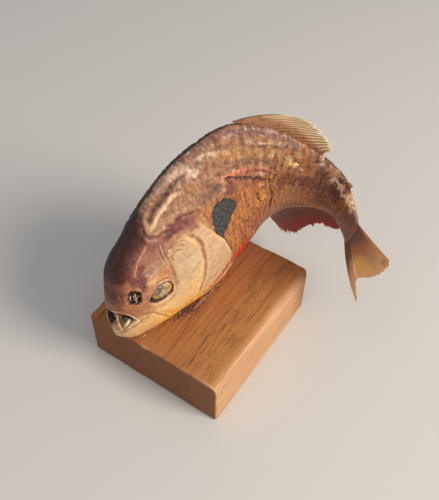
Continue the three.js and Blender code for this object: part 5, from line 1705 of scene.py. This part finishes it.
DORSAL_TIPS = [
    (0, 0.692, 0.298, -0.005), (0.15, 0.703, 0.292, -0.005), (0.3, 0.721, 0.277, -0.006),
    (0.45, 0.737, 0.262, -0.006), (0.6, 0.751, 0.246, -0.005), (0.8, 0.768, 0.224, -0.003),
    (1, 0.782, 0.203, 0),
]
DORSAL_BEND = [(0, -0.008, 0.006, 0), (0.2, -0.004, 0.010, 0), (0.5, 0, 0.006, 0), (1, 0, 0, 0)]
# the folded rays lie back over their roots, and the first ones have pulled up from the flesh
DORSAL_BACK = (0, 0.012, 0.02, 0.024, 0.024, 0.016, 0.01)
DORSAL_RAISED = (0.014, 0.004, 0, 0, 0, 0, 0)
bases, tips = median_rows(0.54, 0.765, 0, DORSAL_TIPS)
bases[:, 1] -= DORSAL_BACK
bases[:, 2] = back_line(bases[:, 1], 0) + DORSAL_RAISED
dorsal = sheet(bases, tips, DORSAL_BEND, 15, along=30, notch=0.20, ragged=0.07, seed=3, ray_thick=0.9)
pale = fin_finish(
    "dorsal_rays", dye(156, 106, 74), dye(182, 124, 80), dye(220, 180, 126), dye(252, 230, 190),
    dye(116, 76, 52), ray_share=0.95, dots=0.8, gaps=0.8, first=0.46,
)
fin_piece("dorsal_rays", dorsal, pale, ["dorsal_fin"], frayed=True)

ADIPOSE_TIPS = [(0, 0.884, 0.114, 0), (1, 0.897, 0.112, 0)]
bases, tips = median_rows(0.866, 0.892, 0, ADIPOSE_TIPS)
adipose = sheet(bases, tips, NO_BEND, 3, along=8, notch=0.05, seed=5, ray_thick=0.2)
fin_piece("adipose_flap", adipose, pale, ["adipose_fin"])

ANAL_TIPS = [
    (0, 0.797, -0.358, 0.004), (0.1, 0.823, -0.358, 0.006), (0.25, 0.844, -0.316, 0.008),
    (0.4, 0.855, -0.262, 0.007), (0.55, 0.872, -0.212, 0.006), (0.7, 0.9, -0.152, 0.004),
    (0.85, 0.928, -0.122, 0.002), (1, 0.951, -0.08, 0),
]
ANAL_BEND = [(0, -0.022, 0.012, 0), (0.3, -0.01, 0.004, 0), (1, 0, 0, 0)]
bases, tips = median_rows(0.685, 0.945, 1, ANAL_TIPS)
anal = sheet(bases, tips, ANAL_BEND, 24, notch=0.08, ragged=0.13, seed=8, ray_thick=0.3)
red = fin_finish(
    "anal_rays", dye(140, 100, 84), dye(134, 76, 72), dye(184, 66, 56), dye(202, 122, 104),
    dye(96, 44, 42), ray_share=0.45, dots=0.7, gaps=0.4, first=0.35,
)
fin_piece("anal_rays", anal, red, ["anal_fin"])

# the tail's rays fan from one short root; the sheet is parted where it has split
TAIL_ROOT = (0.992, -0.06, 0.042)
TAIL_SPLIT = 0.34
TAIL_GAP = 0.006
TAIL_ROWS = 9
TAIL_TIPS = [
    (0, 1.196, -0.114, 0), (0.07, 1.185, -0.102, 0), (0.15, 1.166, -0.088, 0), (0.25, 1.145, -0.07, 0),
    (0.34, 1.14, -0.052, 0), (0.55, 1.178, 0.022, 0), (0.78, 1.204, 0.098, 0), (0.92, 1.213, 0.15, 0),
    (1, 1.204, 0.17, 0),
]
LOWER_SAG = [(0, 0, -0.022, 0), (1, 0, 0, 0)]
# middle across and outward, half width, half length and strength
TAIL_STAINS = {
    "plum": (0.45, 0.16, 0.55, 0.30, 0.9), "rust": (0.12, 0.44, 0.60, 0.17, 0.6),
    "umber": (0.62, 0.60, 0.26, 0.30, 0.5), "gold": (0.16, 0.72, 0.40, 0.20, 0.85),
    "edge_gold": (1, 0.5, 0.14, 0.5, 0.8), "tip_brown": (0.86, 0.88, 0.09, 0.07, 0.5),
}
STAIN_COLOURS = {
    "plum": dye(128, 92, 84), "rust": dye(206, 128, 88), "umber": dye(196, 144, 104),
    "gold": dye(255, 204, 116), "edge_gold": dye(236, 176, 96), "tip_brown": dye(150, 100, 70),
}
# the tips of the tail's rays are painted paler than the dried skin: partly its golden colour, partly
# painted light that stands in for light shining through the thin fin
tail_finish = fin_finish(
    "tail_rays", dye(112, 82, 70), dye(168, 118, 80), dye(255, 206, 146), dye(255, 212, 152),
    dye(160, 108, 60), ray_share=0.25, dots=0.3, gaps=0.12, first=0.30, stains=STAIN_COLOURS.items(),
)
strip_finish = fin_finish(
    "tail_foot", dye(108, 78, 66), dye(132, 92, 70), dye(250, 200, 146), dye(252, 210, 160),
    dye(90, 58, 42), ray_share=0.3, dots=0.2, gaps=0.2, first=0.6,
)
for name, start, end, rays, sag, finish, node, frayed, stains in (
    ("tail_upper", TAIL_SPLIT + TAIL_GAP, 1, 15, NO_BEND, tail_finish, "tail_fin_upper", False,
     TAIL_STAINS.items()),
    ("tail_lower", 0, TAIL_SPLIT - TAIL_GAP, 6, LOWER_SAG, strip_finish, "tail_fin_lower", True, ()),
):
    u = np.linspace(start, end, TAIL_ROWS)
    share = (u - start) / (end - start)
    root_h = TAIL_ROOT[1] + (TAIL_ROOT[2] - TAIL_ROOT[1]) * u
    bases = np.column_stack([share, np.full(TAIL_ROWS, TAIL_ROOT[0]), root_h, np.zeros(TAIL_ROWS)])
    tips = np.column_stack([share, fair(TAIL_TIPS, u)])
    lobe = sheet(bases, tips, sag, rays, along=30, notch=0.012, ragged=0.018, seed=11 + rays,
                 ray_thick=0.2, ripple=0.0012)
    fin_piece(name, lobe, finish, [node], frayed, stains)

PECTORAL_BASES = [(0, 0.412, -0.12, -0.072), (0.5, 0.412, -0.105, -0.075), (1, 0.412, -0.09, -0.077)]
PECTORAL_TIPS = [(0, 0.5, -0.15, -0.066), (0.5, 0.545, -0.13, -0.069), (1, 0.535, -0.1, -0.072)]
PECTORAL_BEND = [(0, 0, 0, -0.003), (1, 0, 0, -0.003)]
pectoral = sheet(PECTORAL_BASES, PECTORAL_TIPS, PECTORAL_BEND, 9, along=16, notch=0.12, seed=21)
fin_piece("pectoral_rays", pectoral, pale, ["pectoral_fin_right"])

# ------------------------------------------------------------------ glue
# A bead of clear glue was run along both sides of the keel. It browned, cracked and took up crumbs of
# skin and sawdust, which lie scattered on the wood beside it.

# heaps of crumbs: middle x and y, spread in millimetres, and how many
CRUMB_HEAPS = (
    (-15.5, 1.4, 0.9, 130), (-12.5, 0.3, 1.1, 210), (-9.5, -0.9, 1.1, 240), (-6.5, -1.9, 0.8, 160),
    (-3.5, -2.6, 0.5, 90), (-1, -3, 0.4, 40), (4.5, -3.6, 0.4, 30), (7.5, -3.8, 0.4, 14),
    (12, -3.7, 0.6, 16), (0, -9, 8, 60), (-22, 14, 3, 16), (-10, -2.8, 1.8, 120),
)


def glue_shape(node, sign):
    low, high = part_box(node)
    middle, size = (low + high) / 2, (high - low) / 2
    bm = bmesh.new()
    bmesh.ops.create_icosphere(bm, subdivisions=5, radius=1)
    ball = np.array([v.co for v in bm.verts])
    lumps = 1 + 0.22 * fuzz(ball * (6, 1, 1), 0.8, 3, 2.0 + sign)
    x = middle.x + ball[:, 0] * size.x * 0.98
    thin = 1 - 0.3 * ball[:, 0] ** 2
    y = middle.y + sign * 0.3 * size.y + ball[:, 1] * size.y * 0.62 * lumps * thin
    z = low.z - 0.25 * MM + np.maximum(ball[:, 2], -0.2) * (high.z - low.z) * 0.6 * lumps
    moved(bm, lambda here: np.column_stack([x, y, z]))
    return bm


def crumb(place, size, chance):
    bm = bmesh.new()
    bmesh.ops.create_icosphere(bm, subdivisions=1, radius=1)
    stretch = chance.uniform(0.6, 1.3, 3) * (1, 1, 0.7)
    ball = np.array([v.co for v in bm.verts]) * chance.uniform(0.75, 1.2, (len(bm.verts), 1)) * stretch
    moved(bm, lambda here: place + ball * size)
    return bm


chance = np.random.default_rng(5)
parts = []
for middle_x, middle_y, spread, count in CRUMB_HEAPS:
    for k in range(count):
        x, y = np.array([middle_x, middle_y]) + chance.normal(0, 1, 2) * (spread * 1.5, spread)
        size = chance.uniform(0.06, 0.13) + 0.16 * chance.random() ** 5
        parts.append(crumb(np.array([x, y, BLOCK_TOP / MM + size * 0.45]) * MM, size * MM, chance))


def crumb_finish():
    look = Finish("glue_and_crumbs", IOR=1.5, Coat_Roughness=0.1)
    cloud = look.place.cloud(900, 2.0)
    grain = look.place.cloud(330, 2.0)
    # the palest stop is partly pale sawdust and partly painted glints
    stops = [
        (0.36, dye(52, 28, 20)), (0.48, dye(96, 54, 36)), (0.60, dye(160, 100, 64)),
        (0.72, dye(230, 200, 170)),
    ]
    look.feed("Base Color", cloud.node("ValToRGB", {"stops": stops}, {0: cloud}))
    look.feed("Roughness", 0.2 + grain * 0.5)
    look.feed("Coat Weight", grain)
    look.bump(cloud, 0.4, 0.0002)
    return look.material


def bead_finish():
    look = Finish("browned_glue", IOR=1.5, Coat_Roughness=0.1)
    cloud = look.place.cloud(500, 3.0)
    stops = {"stops": [(0.35, dye(92, 52, 30)), (0.55, dye(146, 92, 54)), (0.7, dye(176, 118, 70))]}
    look.feed("Base Color", cloud.node("ValToRGB", stops, {0: cloud}))
    look.feed("Roughness", 0.25 + cloud * 0.3)
    look.bump(cloud, 0.5, 0.0003)
    return look.material


glue_look = bead_finish()
for sign, side in ((1, "left"), (-1, "right")):
    bead = glue_shape("glue_" + side, sign)
    finished("glue_bead_" + side, bead, glue_look, ["glue_" + side])
finished("crumbs", joined(parts), crumb_finish())
